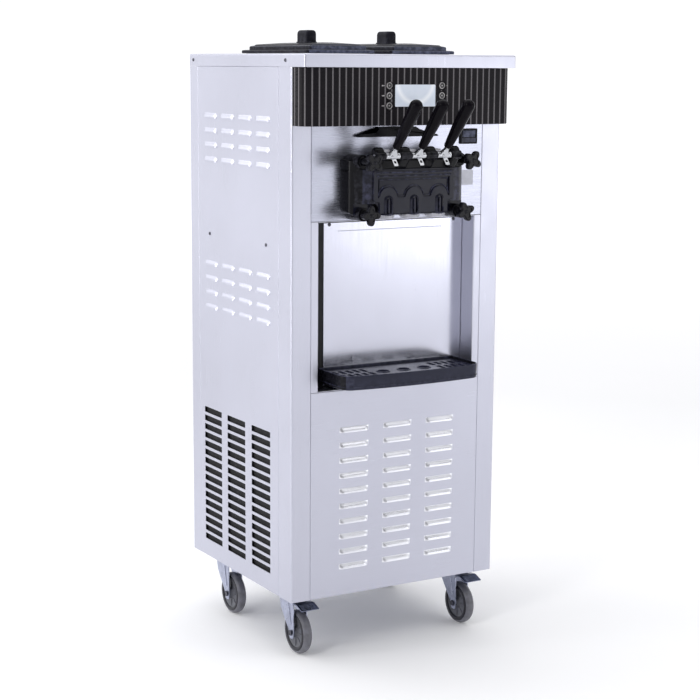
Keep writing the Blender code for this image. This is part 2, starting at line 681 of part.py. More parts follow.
# ---- dispensing head ----------------------------------------------------------------------
def head_plan(front):
    """Plan outline of the head, which narrows from the cabinet to its bowed front face."""
    side = [(0.151, FRONT - GAP), (0.150, FRONT - 0.015), (0.1455, FRONT - 0.030),
            (0.1375, FRONT - 0.044), (0.126, front + 0.0055), (0.113, front)]
    bow = [(0.060, front - 0.0010), (0.0, front - 0.0015)]
    right = side + bow
    return right + [(-x, y) for x, y in reversed(right[:-1])]


def spout_dome(x):
    """A domed housing that stands out of the head's face round each spout."""
    radius, centre_y = 0.0165, FRONT - 0.052
    low, top, dome = HEAD_BOTTOM - 0.0007, 1.036, 0.0145
    profile = [(0, 0), (radius, 0), (radius, top - low)]
    for step in range(1, 4):
        angle = pi / 2 * step / 4
        profile.append((radius * cos(angle), top - low + dome * sin(angle)))
    profile.append((0, top - low + dome))
    return lathe(profile, (x, centre_y, low), (0, 0, 1), 16)


def lug(x, half):
    """An ear that holds the lever pin in front of the head and rises behind it to a round top."""
    radius, crown = 0.0095, 0.0110
    back = FRONT - 0.048
    points = [(back, HEAD_TOP - 0.004), (HEAD_FACE + 0.003, HEAD_STEP - 0.004),
              (HEAD_FACE - 0.004, HEAD_STEP)]
    for step in range(5):
        angle = radians(255 - 25 * step)
        points.append((PIVOT_Y + radius * cos(angle), PIVOT_Z + radius * sin(angle)))
    for step in range(6):
        angle = radians(150 - 30 * step)
        points.append((PIVOT_Y + 0.008 + crown * cos(angle), LUG_TOP - crown + crown * sin(angle)))
    points.append((back, HEAD_TOP + 0.002))
    return prism(points, x - half, x + half, "X")


def nozzle(x):
    """The nozzle cap under a spout."""
    radius, ease, height = 0.022, 0.003, 0.010
    profile = [(0, 0), (radius - ease, 0), (radius, ease), (radius, height), (0, height)]
    return lathe(profile, (x, PISTON_Y, HEAD_BOTTOM - height + 0.002), (0, 0, 1), 16)


def boss_end(z):
    """The front of a stud's boss: the lower ones stand in notches at the head's lower corners."""
    return FRONT - (UPPER_BOSS if z > CYLINDER_Z else LOWER_BOSS)


def head_passages():
    """The ways from the barrels: one straight to each side spout and two that meet at the middle."""
    shapes = []
    for x in (-SPOUT_PITCH, SPOUT_PITCH):
        shapes.append(rod((x, FRONT, PORT_Z), (x, PISTON_Y + 0.004, PORT_Z), 0.005, 8))
        start = Vector((x * 0.7, FRONT, PORT_Z))
        middle = Vector((0, PISTON_Y, PORT_Z))
        shapes.append(rod(start, middle + (start - middle).normalized() * 0.007, 0.0035, 8))
    return together(shapes)


def dispensing_head():
    """The moulded front that closes both barrels, with its spouts, stud bosses and pin lugs."""
    lower = eased(prism(head_plan(HEAD_FACE), HEAD_BOTTOM, HEAD_STEP), 0.004, 1)
    head = piece("dispensing_head", lower, "black_plastic")
    fuse(head, eased(prism(head_plan(HEAD_SET_BACK), HEAD_STEP - 0.010, HEAD_TOP), 0.003, 1))
    cut(head, together([block((low, FRONT - 0.2, 0.9), (high, FRONT - NOTCH_DEPTH, NOTCH_TOP))
                        for low, high in ((-0.2, -NOTCH_HALF), (NOTCH_HALF, 0.2))]))
    fuse(head, together([spout_dome(x) for _, x in spouts()] + [lug(x, half) for x, half in LUGS]))
    bosses = [rod((x, FRONT - 0.002, z), (x, HEAD_FACE + 0.004, z), BOSS_RADIUS, 16) for x, z in STUDS]
    necks = [rod((x, HEAD_FACE + 0.010, z), (x, boss_end(z), z), BOSS_NECK, 16) for x, z in STUDS]
    fuse(head, together(bosses + [nozzle(x) for _, x in spouts()]))
    fuse(head, together(necks))
    recesses = [rod((x, FRONT + 0.01, CYLINDER_Z), (x, CYLINDER_FRONT - 0.0006, CYLINDER_Z),
                    CYLINDER_RADIUS + 2 * GAP, 28) for x in (-SPOUT_PITCH, SPOUT_PITCH)]
    bores = [rod((x, PISTON_Y, 0.9), (x, PISTON_Y, 1.2), BORE_RADIUS, 16) for _, x in spouts()]
    stud_holes = [rod((x, FRONT + 0.01, z), (x, FRONT - 0.1, z), STUD_RADIUS + 0.0005) for x, z in STUDS]
    pin_hole = rod((-0.13, PIVOT_Y, PIVOT_Z), (0.13, PIVOT_Y, PIVOT_Z), PIN_RADIUS + GAP)
    cut(head, head_passages())
    cut(head, together(recesses + bores + stud_holes + [pin_hole]))


def lever_pin():
    half = LUGS[-1][0] + LUGS[-1][1] + 0.0005
    head, flange = 0.005, 0.0025
    profile = [(0, -flange), (head, -flange), (head, 0), (PIN_RADIUS, 0),
               (PIN_RADIUS, 2 * half), (0, 2 * half)]
    start = (-half, PIVOT_Y, PIVOT_Z)
    piece("lever_pin", lathe(profile, start, (1, 0, 0), SMALL_ROUND), "polished_steel")


def lever_point(x, distance):
    """A point on a lever's rod at a distance from the pivot."""
    return Vector((x, PIVOT_Y - sin(LEVER_LEAN) * distance, PIVOT_Z + cos(LEVER_LEAN) * distance))


def draw_levers():
    """A collar on the pin with the rod for the grip, a toe that lifts the piston and a holed tab."""
    for name, x in spouts():
        pivot = (x, PIVOT_Y, PIVOT_Z)
        ends = [(x + side * COLLAR_HALF, PIVOT_Y, PIVOT_Z) for side in (-1, 1)]
        collar = rod(*ends, COLLAR_RADIUS, 16)
        lever = piece(f"draw_lever_{name}", collar, "polished_steel", origin=pivot)
        toe_end = (x, PISTON_Y, PIVOT_Z)
        tang = rod(lever_point(x, 0.004), lever_point(x, TANG_END), TANG_RADIUS)
        toe = rod((x, PIVOT_Y + 0.004, PIVOT_Z), toe_end, 0.0025, 8)
        ball = bmesh.new()
        bmesh.ops.create_uvsphere(ball, u_segments=8, v_segments=6, radius=0.0035,
                                  matrix=Matrix.Translation(toe_end))
        tab = block((-TAB_HALF, -0.0013, -TAB_LENGTH), (TAB_HALF, 0.0013, -COLLAR_RADIUS + 0.002))
        hole = block((-0.0028, -0.01, -TAB_HOLE - 0.0034), (0.0028, 0.01, -TAB_HOLE + 0.0034))
        hang = Matrix.Translation(pivot) @ Matrix.Rotation(-TAB_LEAN, 4, "X")
        for shape in (tab, hole):
            shape.transform(hang)
        fuse(lever, tang, toe, ball, tab)
        pin_hole = rod((x - 0.05, PIVOT_Y, PIVOT_Z), (x + 0.05, PIVOT_Y, PIVOT_Z), PIN_RADIUS + GAP)
        cut(lever, hole, pin_hole)


def lever_grips():
    """A black grip that widens to a round end, pushed over the lever's rod."""
    length = GRIP_END - GRIP_START
    profile = [(0, 0), (0.0085, 0), (0.0093, 0.002), (0.0117, length * 0.45),
               (GRIP_ROUND, length - GRIP_ROUND)]
    for step in range(1, 4):
        angle = pi / 2 * step / 4
        profile.append((GRIP_ROUND * cos(angle), length - GRIP_ROUND * (1 - sin(angle))))
    profile.append((0, length))
    for name, x in spouts():
        direction = lever_point(x, 1.0) - lever_point(x, 0.0)
        grip = piece(f"lever_grip_{name}", lathe(profile, lever_point(x, GRIP_START), direction, 16),
                     "black_plastic", origin=(x, PIVOT_Y, PIVOT_Z))
        cut(grip, rod(lever_point(x, 0.0), lever_point(x, TANG_END + GAP), TANG_RADIUS + GAP))


def draw_pistons():
    """A valve rod with a groove for its sealing ring; its slot takes the lever's toe."""
    length = PISTON_TOP - PISTON_BOTTOM
    radius, groove, ring = PISTON_RADIUS, 0.0015, 0.045
    profile = [(0, 0), (radius, 0), (radius, ring - 0.002), (radius - groove, ring - 0.002),
               (radius - groove, ring + 0.002), (radius, ring + 0.002), (radius, length - 0.001),
               (radius - 0.001, length), (0, length)]
    for name, x in spouts():
        foot = (x, PISTON_Y, PISTON_BOTTOM)
        shape = lathe(profile, foot, (0, 0, 1), 16)
        piston = piece(f"draw_piston_{name}", shape, "white_plastic", origin=foot)
        slot = block((x - 0.02, PISTON_Y - 0.02, SLOT_LOW), (x + 0.02, PISTON_Y + 0.0045, SLOT_HIGH))
        cut(piston, slot)


def hand_knobs():
    """A four-lobed knob on each stud."""
    names = ("top_left", "top_right", "bottom_left", "bottom_right")
    lobes, points = 4, 24
    for name, turn, (x, z) in zip(names, KNOB_TURNS, STUDS):
        back = boss_end(z) - GAP
        front = back - KNOB_LENGTH
        outline = []
        for step in range(points):
            angle = 2 * pi * step / points
            radius = 0.0175 + 0.0050 * cos(lobes * (angle - pi / 4))
            angle += radians(turn)
            outline.append((x + radius * cos(angle), z + radius * sin(angle)))
        star = prism(outline, front, front + KNOB_HEAD, "Y")
        knob = piece(f"hand_knob_{name}", star, "black_plastic", origin=(x, back, z))
        fuse(knob, rod((x, front + KNOB_HEAD - 0.001, z), (x, back, z), 0.0085))
        cut(knob, rod((x, back + 0.01, z), (x, back - 0.022, z), STUD_RADIUS + GAP, SMALL_ROUND))


# ---- drip tray ----------------------------------------------------------------------------
def tray_plan(inset):
    """Plan of the tray: straight sides, round corners and a bowed front."""
    half = TRAY_HALF - inset
    back, shoulder, face = FRONT + RECESS_DEPTH - 0.001 - inset, FRONT - 0.046, FRONT - 0.088 + inset
    corner, bow = 0.026, 0.010
    right = [(half, back), (half, shoulder)]
    for step in range(1, 5):
        angle = pi / 2 * step / 4
        right.append((half - corner * (1 - cos(angle)), shoulder - (shoulder - face - bow) * sin(angle)))
    reach = half - corner
    for step in range(1, 4):
        x = reach * (1 - step / 4)
        right.append((x, face + bow * (x / reach) ** 2))
    return right + [(0.0, face)] + [(-x, y) for x, y in reversed(right)]


def drip_tray():
    """A moulded basin with a ledge for the grid, on two runners that stand on the recess's shelf."""
    wall, floor, ledge = 0.004, 0.004, 0.004
    tray = piece("drip_tray", prism(tray_plan(0.0), TRAY_BOTTOM, TRAY_TOP), "black_plastic",
                 origin=(0, FRONT, TRAY_BOTTOM))
    cut(tray, prism(tray_plan(wall), TRAY_TOP - GRID_DROP, 1.0),
        prism(tray_plan(wall + ledge), TRAY_BOTTOM + floor, 1.0))
    runners = [block((x - 0.006, FRONT + 0.004, LOWER_SEAM + GAP + 0.0015),
                     (x + 0.006, FRONT + RECESS_DEPTH - 0.004, TRAY_BOTTOM + 0.001))
               for x in (-0.150, 0.150)]
    fuse(tray, together(runners))


def drip_grid():
    """The slotted plate in the tray, with three round cup places."""
    low, high = TRAY_TOP - GRID_DROP + GAP, TRAY_TOP - 0.005
    grid = piece("drip_grid", prism(tray_plan(0.004 + 2 * GAP), low, high), "black_plastic",
                 origin=(0, FRONT, low))
    openings = []
    for sign in (-1, 1):
        for column in range(5):
            x = sign * (0.090 + 0.018 * column)
            for y in (FRONT - 0.045, FRONT - 0.003):
                openings.append(block((x - 0.004, y - 0.015, 0.6), (x + 0.004, y + 0.015, 0.7)))
    cut(grid, together(openings))
    cut(grid, together([rod((x, FRONT - 0.030, 0.6), (x, FRONT - 0.030, 0.7), 0.0125, 16)
                        for x in (-0.054, 0.0, 0.054)]))


# ---- casters ------------------------------------------------------------------------------
def caster_fork(name, x, y):
    """A turned swivel head with two pressed legs that reach forward to the axle."""
    axle_y = y - CASTER_TRAIL
    head = lathe([(0, 0), (0.026, 0), (0.030, 0.004), (0.030, 0.010), (0, 0.010)],
                 (x, y, FORK_TOP - 0.010), (0, 0, 1), 16)
    fork = piece(f"caster_fork_{name}", head, "zinc", origin=(x, y, FORK_TOP))
    crown_low, crown_high = FORK_TOP - 0.013, FORK_TOP - 0.009
    half = FORK_INNER + FORK_WALL
    fuse(fork, block((x - half, y - 0.040, crown_low), (x + half, y + 0.024, crown_high)))
    leg = [(y - 0.040, crown_high), (y + 0.024, crown_high), (y + 0.018, 0.100),
           (axle_y + 0.012, WHEEL_RADIUS - 0.004)]
    for step in range(1, 4):
        angle = -pi * step / 4
        leg.append((axle_y + 0.012 * cos(angle), WHEEL_RADIUS - 0.004 + 0.012 * sin(angle)))
    leg += [(axle_y - 0.012, WHEEL_RADIUS - 0.004), (y - 0.042, 0.100)]
    legs = [prism(leg, x + low, x + low + FORK_WALL, "X") for low in (-half, FORK_INNER)]
    fuse(fork, together(legs))
    fuse(fork, rod((x - half - 0.003, axle_y, WHEEL_RADIUS), (x + half + 0.003, axle_y, WHEEL_RADIUS),
                   AXLE_RADIUS))
    return fork


def caster_wheel(name, x, y, fork):
    """A tyre on a dished centre, round the fork's axle."""
    axle = (x, y - CASTER_TRAIL, WHEEL_RADIUS)
    flat = 1 / cos(pi / ROUND)
    bore = AXLE_RADIUS + GAP
    half, hub = WHEEL_HALF, FORK_INNER - 2 * GAP
    web = 0.006
    right = [(bore, hub), (0.014, hub), (0.016, web), (0.034, web), (0.038, half), (0.045, half)]
    tread = [(WHEEL_RADIUS, half - 0.005), (WHEEL_RADIUS, 0.005 - half)]
    left = [(radius, -across) for radius, across in reversed(right)]
    profile = [(radius * flat if radius > bore else radius, across)
               for radius, across in right + tread + left]
    piece(f"caster_wheel_{name}", lathe(profile, axle, (1, 0, 0), ROUND, pi / ROUND), "tyre_rubber",
          origin=axle, parent=fork)


def brake_pedal(name, x, y, fork):
    """A pressed pedal that tips down onto the tyre; its neck is pivoted between the fork's legs."""
    pivot = (x, y - 0.034, FORK_TOP - 0.019)
    neck_end, crest, toe = y - 0.047, y - 0.066, y - 0.090
    upper = [(y - 0.032, FORK_TOP - 0.017), (neck_end, FORK_TOP - 0.012), (neck_end, FORK_TOP - 0.015),
             (y - 0.032, FORK_TOP - 0.021)]
    tread = [(neck_end + 0.001, FORK_TOP - 0.012), (crest, FORK_TOP - 0.010), (toe, FORK_TOP - 0.018),
             (toe, FORK_TOP - 0.021), (crest, FORK_TOP - 0.013), (neck_end + 0.001, FORK_TOP - 0.015)]
    plate = prism(tread, x - 0.023, x + 0.023, "X")
    pedal = piece(f"brake_pedal_{name}", plate, "zinc", origin=pivot, parent=fork)
    inner = FORK_INNER - GAP
    fuse(pedal, prism(upper, x - 0.012, x + 0.012, "X"),
         rod((x - inner, pivot[1], pivot[2]), (x + inner, pivot[1], pivot[2]), 0.003, 8))


def casters():
    for name, x, y in caster_spots():
        fork = caster_fork(name, x, y)
        caster_wheel(name, x, y, fork)
        if name.startswith("front"):
            brake_pedal(name, x, y, fork)


def build():
    for obj in list(bpy.data.objects):
        bpy.data.objects.remove(obj)
    for make in (base_pan, front_posts, rear_shell, side_panels, lower_front_panel, upper_front_panel,
                 splash_panel, top_deck, control_housing, display_screen, keys, hoppers, hopper_lids,
                 freezing_cylinders, beaters, gear_motors, compressor, condenser, condenser_fan, fan_motor,
                 control_box, cable_gland, dispensing_head, lever_pin, draw_levers, lever_grips,
                 draw_pistons, hand_knobs, drip_tray, drip_grid, casters):
        make()


build()
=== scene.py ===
"""The looks of the soft serve machine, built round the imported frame.

The frame is the CAD's: metres, +Z up, -Y is the front, the origin on the floor under the middle.
A new piece has its vertices in that frame and its object at the origin, so a material's Object
coordinates are places on the machine.
"""
from math import atan2, cos, pi, radians, sin, tan

import bmesh
import bpy
from mathutils import Matrix, Vector


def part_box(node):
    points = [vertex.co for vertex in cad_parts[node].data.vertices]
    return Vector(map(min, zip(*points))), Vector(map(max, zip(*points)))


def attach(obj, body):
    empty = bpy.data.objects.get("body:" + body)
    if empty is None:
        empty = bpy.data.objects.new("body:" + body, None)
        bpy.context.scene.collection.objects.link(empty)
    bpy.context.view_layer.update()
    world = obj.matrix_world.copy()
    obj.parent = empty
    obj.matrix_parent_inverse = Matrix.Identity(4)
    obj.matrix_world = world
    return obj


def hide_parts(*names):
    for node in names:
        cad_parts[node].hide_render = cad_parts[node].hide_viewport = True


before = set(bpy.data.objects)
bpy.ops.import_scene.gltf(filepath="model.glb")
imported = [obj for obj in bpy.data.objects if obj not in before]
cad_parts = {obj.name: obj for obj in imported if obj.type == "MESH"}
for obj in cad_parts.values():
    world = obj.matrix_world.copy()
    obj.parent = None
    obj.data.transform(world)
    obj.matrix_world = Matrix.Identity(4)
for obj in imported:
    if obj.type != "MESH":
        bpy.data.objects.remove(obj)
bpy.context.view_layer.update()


def middle_of(node):
    """The middle of a CAD node's box."""
    low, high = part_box(node)
    return (low + high) / 2


# ---- places read from the frame -----------------------------------------------------------
DECK_LOW, DECK_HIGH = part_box("top_deck")
POST_LOW, POST_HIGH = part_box("front_post_right")
PIN_LOW, PIN_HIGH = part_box("lever_pin")
HOUSING_LOW, HOUSING_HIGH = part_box("control_housing")
HALF = DECK_HIGH.x
REAR = DECK_HIGH.y
FRONT = POST_LOW.y
BOTTOM = POST_LOW.z
SKIN_TOP = POST_HIGH.z
EDGE = POST_LOW.x                    # inner edge of a post's front flange
POST_DEPTH = POST_HIGH.y - FRONT
PIVOT_Y = (PIN_LOW.y + PIN_HIGH.y) / 2
PIVOT_Z = (PIN_LOW.z + PIN_HIGH.z) / 2
SPOUTS = {side: middle_of(f"draw_piston_{side}").x for side in ("left", "centre", "right")}
SIDES = (("left", -1), ("right", 1))
ACROSS, BACK, UP = (1, 0, 0), (0, 1, 0), (0, 0, 1)

# ---- sizes of the finer shapes ------------------------------------------------------------
SHEET = 0.0015
CLEAR = 0.0003           # gap between a piece and what it fits into or stands on
SEAM = 0.0012            # rounding of a sheet's edge at a seam
FOLD = 0.0042            # outer radius of a fold
VENT_COLUMNS = (0.146, 0.2705, 0.3935)      # middles, from the front of the cabinet
VENT_ROWS = 16
VENT_WIDTH, VENT_HEIGHT, VENT_PITCH, VENT_TOP = 0.092, 0.014, 0.021, 0.511
VENT_CORNER = 0.0016
CUT = 0.004              # how far a cutter runs past the sheet that it cuts
SHEET_SHARP = 35         # degrees between faces from which sheet metal shows an edge
REAR_COLUMNS = (-0.145, 0.0, 0.145)
REAR_FIELDS = (0.330, 1.120)                # heights of the lowest rows
GLAND_HOLE = 0.010                          # radius
REAR_ROWS, REAR_PITCH, REAR_WIDTH, REAR_HEIGHT = 6, 0.026, 0.110, 0.012
SIDE_HOOD_COLUMNS = (0.134, 0.222, 0.310, 0.398)
SIDE_HOOD_ROWS = (1.213, 1.179, 1.146, 1.112, 0.868, 0.833, 0.799, 0.765)
SIDE_HOOD_WIDTH = 0.068
FRONT_HOOD_COLUMNS = (-0.1105, 0.0035, 0.1175)
FRONT_HOOD_ROWS = 10
FRONT_HOOD_WIDTH, FRONT_HOOD_PITCH, FRONT_HOOD_TOP = 0.075, 0.035, 0.528
HOOD_HEIGHT = 0.012
HOOD_RISE = 0.0044
STUD_RADIUS, STUD_REACH = 0.0037, 0.016     # the studs end this far inside the hand knobs
KNOB_TURNS = {"top_left": 0, "top_right": 12, "bottom_left": 45, "bottom_right": -20}    # degrees
BAY_HALF, BAY_DEPTH = 0.203, 0.050          # the serving bay inside its liner
LINER = 0.0012
SPLASH_LEFT = -0.164                        # left edge of the splash sheet
HOPPER_LAP = 0.007                          # how far a hopper's rim lies on the deck
SPLASH_FOLD = 0.0267                        # from the bay's roof down to the sheet's fold


# ---- shapes -------------------------------------------------------------------------------
def linked(name, data):
    """A new object that shows some data."""
    obj = bpy.data.objects.new(name, data)
    bpy.context.scene.collection.objects.link(obj)
    return obj


def mesh_of(bm, name):
    """The shape as a mesh; the shape itself is used up."""
    mesh = bpy.data.meshes.new(name)
    bm.to_mesh(mesh)
    bm.free()
    return mesh


def facing_out(bm):
    """The shape with all its faces turned outwards."""
    bmesh.ops.recalc_face_normals(bm, faces=bm.faces)
    return bm


def between(sign, near, far):
    """Two distances from the middle plane on one of its sides, the lower coordinate first."""
    return sorted((sign * near, sign * far))


def block(low, high):
    """A box between two corners."""
    bm = bmesh.new()
    size = [h - l for l, h in zip(low, high)]
    middle = [(h + l) / 2 for l, h in zip(low, high)]
    bmesh.ops.create_cube(bm, size=1.0, matrix=Matrix.Translation(middle) @ Matrix.Diagonal((*size, 1.0)))
    return bm


def placed(axis):
    """How an outline's (a, b) and a distance t along an axis make a point."""
    return {
        "Z": lambda a, b, t: Vector((a, b, t)),
        "Y": lambda a, b, t: Vector((a, t, b)),
        "X": lambda a, b, t: Vector((t, a, b)),
    }[axis]


def loft(rings, ends=True):
    """A closed skin over rings of equally many points, with flat ends or, without, a tube."""
    bm = bmesh.new()
    rows = [[bm.verts.new(point) for point in ring] for ring in rings]
    pairs = list(zip(rows, rows[1:])) if ends else list(zip(rows, rows[1:] + rows[:1]))
    for lower, upper in pairs:
        for index in range(len(lower)):
            after = (index + 1) % len(lower)
            bm.faces.new((lower[index], lower[after], upper[after], upper[index]))
    if ends:
        bm.faces.new(rows[0])
        bm.faces.new(rows[-1])
    return bm


def prism(outline, low, high, axis="Z", ease=0.0, steps=3):
    """An outline extruded along an axis; ease rounds its two ends over."""
    place = placed(axis)
    if not ease:
        return loft([[place(a, b, t) for a, b in outline] for t in (low, high)])
    turns = [pi / 2 * step / steps for step in range(steps + 1)]
    levels = [(low + ease * (1 - cos(turn)), ease * (1 - sin(turn))) for turn in turns]
    levels += [(high - ease * (1 - cos(turn)), ease * (1 - sin(turn))) for turn in reversed(turns)]
    return loft([[place(a, b, t) for a, b in shrunk(outline, inset)] for t, inset in levels])


def area(outline):
    """Signed area of an outline: above zero where it runs anticlockwise."""
    return sum(a[0] * b[1] - b[0] * a[1] for a, b in zip(outline, outline[1:] + outline[:1])) / 2


def shrunk(outline, inset):
    """The outline moved inwards by an inset, point by point."""
    way = 1 if area(outline) > 0 else -1
    count = len(outline)
    moved = []
    for index in range(count):
        here = Vector(outline[index])
        before = (here - Vector(outline[index - 1])).normalized()
        after = (Vector(outline[(index + 1) % count]) - here).normalized()
        normal = Vector((-(before.y + after.y), before.x + after.x)).normalized()
        spread = max(0.4, normal.dot(Vector((-before.y, before.x))))
        moved.append(tuple(here + normal * (way * inset / spread)))
    return moved


def lathe(profile, start, direction, steps=48, turn=0.0):
    """A solid of revolution: (radius, distance along the axis) points. A radius of 0 closes an end,
    and a profile that starts and ends off the axis makes a ring."""
    bm = bmesh.new()
    along = Vector(direction).normalized()
    side = Vector((0, 0, 1)) if abs(along.z) < 0.9 else Vector((1, 0, 0))
    side = (side - along * side.dot(along)).normalized()
    other = along.cross(side)
    rings = []
    for radius, distance in profile:
        centre = Vector(start) + along * distance
        if radius == 0:
            rings.append([bm.verts.new(centre)])
            continue
        angles = [turn + 2 * pi * step / steps for step in range(steps)]
        rings.append([bm.verts.new(centre + (side * cos(a) + other * sin(a)) * radius) for a in angles])
    solid = profile[0][0] == 0 and profile[-1][0] == 0
    pairs = list(zip(rings, rings[1:])) if solid else list(zip(rings, rings[1:] + rings[:1]))
    for lower, upper in pairs:
        for step in range(steps):
            after = (step + 1) % steps
            if len(lower) == 1:
                bm.faces.new((lower[0], upper[after], upper[step]))
            elif len(upper) == 1:
                bm.faces.new((lower[step], lower[after], upper[0]))
            else:
                bm.faces.new((lower[step], lower[after], upper[after], upper[step]))
    return bm


def rod(start, end, radius, ease=0.0005, steps=32):
    """A round bar between two points, with its ends eased."""
    length = (Vector(end) - Vector(start)).length
    profile = [(0, 0), (radius - ease, 0), (radius - ease * 0.3, ease * 0.3), (radius, ease),
               (radius, length - ease), (radius - ease * 0.3, length - ease * 0.3),
               (radius - ease, length), (0, length)]
    return lathe(profile, start, Vector(end) - Vector(start), steps)


def tube(path, radius, steps=10, closed=False):
    """A round bead along a path of points."""
    path = [Vector(p) for p in path]
    count = len(path)
    rings = []
    side = None
    for index, here in enumerate(path):
        before = path[index - 1] if index or closed else here
        after = path[(index + 1) % count] if index < count - 1 or closed else here
        along = (after - before).normalized()
        side = along.orthogonal() if side is None else side - along * side.dot(along)
        side.normalize()
        other = along.cross(side)
        rings.append([here + (side * cos(2 * pi * s / steps) + other * sin(2 * pi * s / steps)) * radius
                      for s in range(steps)])
    return loft(rings, ends=not closed)


def arc(centre, radius, start, end, steps=8):
    """Points of an arc between two angles in degrees."""
    turns = [radians(start + (end - start) * step / steps) for step in range(steps + 1)]
    return [(centre[0] + radius * cos(turn), centre[1] + radius * sin(turn)) for turn in turns]


def rounded(half_a, half_b, radius, centre=(0.0, 0.0), steps=6):
    """The outline of a rectangle with round corners, anticlockwise."""
    points = []
    for index, (sa, sb) in enumerate(((1, 1), (-1, 1), (-1, -1), (1, -1))):
        corner = (centre[0] + sa * (half_a - radius), centre[1] + sb * (half_b - radius))
        points += arc(corner, radius, 90 * index, 90 * index + 90, steps)
    return points


def filleted(points, radius, closed=False, steps=5):
    """A path or an outline with its corners rounded; radius is one value or one for each point."""
    points = [Vector(p) for p in points]
    count = len(points)
    radii = radius if isinstance(radius, (list, tuple)) else [radius] * count
    path = []
    for index, here in enumerate(points):
        if radii[index] == 0 or (not closed and index in (0, count - 1)):
            path.append(tuple(here))
            continue
        back = (points[index - 1] - here).normalized()
        ahead = (points[(index + 1) % count] - here).normalized()
        half = back.angle(ahead) / 2
        reach = radii[index] / tan(half)
        centre = here + (back + ahead).normalized() * (radii[index] / sin(half))
        first, last = here + back * reach - centre, here + ahead * reach - centre
        for step in range(steps + 1):
            path.append(tuple(centre + first.slerp(last, step / steps).normalized() * radii[index]))
    return path


def sheet_outline(path, thickness=SHEET):
    """Closed outline of a folded sheet whose outer face runs along a path and whose body is on the
    path's left; its outer edges are rounded over at both ends."""
    path = [Vector(p) for p in path]

    def left(a, b):
        along = (b - a).normalized()
        return Vector((-along.y, along.x))

    start_in, end_in = left(path[0], path[1]), left(path[-2], path[-1])
    ahead, back = (path[1] - path[0]).normalized(), (path[-2] - path[-1]).normalized()
    turns = [pi / 2 * step / 3 for step in range(4)]
    head = [path[0] + start_in * SEAM * (1 - sin(t)) + ahead * SEAM * (1 - cos(t)) for t in turns]
    tail = [path[-1] + end_in * SEAM * (1 - sin(t)) + back * SEAM * (1 - cos(t)) for t in reversed(turns)]
    inner = []
    for index, here in enumerate(path):
        before = left(path[index - 1], here) if index else start_in
        after = left(here, path[index + 1]) if index < len(path) - 1 else end_in
        normal = (before + after).normalized()
        inner.append(here + normal * (thickness / normal.dot(before)))
    return [tuple(p) for p in head + path[1:-1] + tail + inner[::-1]]


def joined(shapes):
    """Several shapes as one, keeping their faces' material indices."""
    whole = bmesh.new()
    for bm in shapes:
        mesh = mesh_of(facing_out(bm), "joined")
        whole.from_mesh(mesh)
        bpy.data.meshes.remove(mesh)
    return whole


def painted(bm, index):
    """The shape with all its faces in one of its object's materials."""
    for face in bm.faces:
        face.material_index = index
    return bm


def moved(bm, matrix):
    bm.transform(matrix)
    return bm


def carved(bm, cutters):
    """The shape less other shapes, by an exact Boolean. The others must not meet each other."""
    shapes = (bm, joined(cutters))
    objects = [linked("carving", mesh_of(facing_out(shape), "carving")) for shape in shapes]
    modifier = objects[0].modifiers.new("carve", "BOOLEAN")
    modifier.operation = "DIFFERENCE"
    modifier.solver = "EXACT"
    modifier.object = objects[1]
    result = bmesh.new()
    result.from_object(objects[0], bpy.context.evaluated_depsgraph_get())
    for obj in objects:
        mesh = obj.data
        bpy.data.objects.remove(obj)
        bpy.data.meshes.remove(mesh)
    return result


def softened(bm, width, segments=2, angle=40, chosen=lambda edge: True):
    """The shape with its sharp edges rounded."""
    facing_out(bm)
    edges = [e for e in bm.edges if e.is_manifold and e.calc_face_angle() > radians(angle) and chosen(e)]
    bmesh.ops.bevel(bm, geom=edges, offset=width, segments=segments, profile=0.5, affect="EDGES",
                    clamp_overlap=True)
    return bm


def smooth_line(points, steps=6):
    """A smooth curve through points (Catmull-Rom)."""
    points = [Vector(p) for p in points]
    ends = [points[0] * 2 - points[1], *points, points[-1] * 2 - points[-2]]
    line = []
    for a, b, c, d in zip(ends, ends[1:], ends[2:], ends[3:]):
        for step in range(steps):
            t = step / steps
            line.append(tuple((b * 2 + (c - a) * t + (a * 2 - b * 5 + c * 4 - d) * t * t
                               + (b * 3 - a - c * 3 + d) * t ** 3) / 2))
    return line + [tuple(points[-1])]


def soft_block(low, high, width, segments=1):
    """A box with rounded edges."""
    return softened(block(low, high), width, segments)


# ---- materials ----------------------------------------------------------------------------
def scaled(tone, factor, lift=0.0):
    """A colour made lighter or darker."""
    return tuple(min(1.0, channel * factor + lift) for channel in tone)


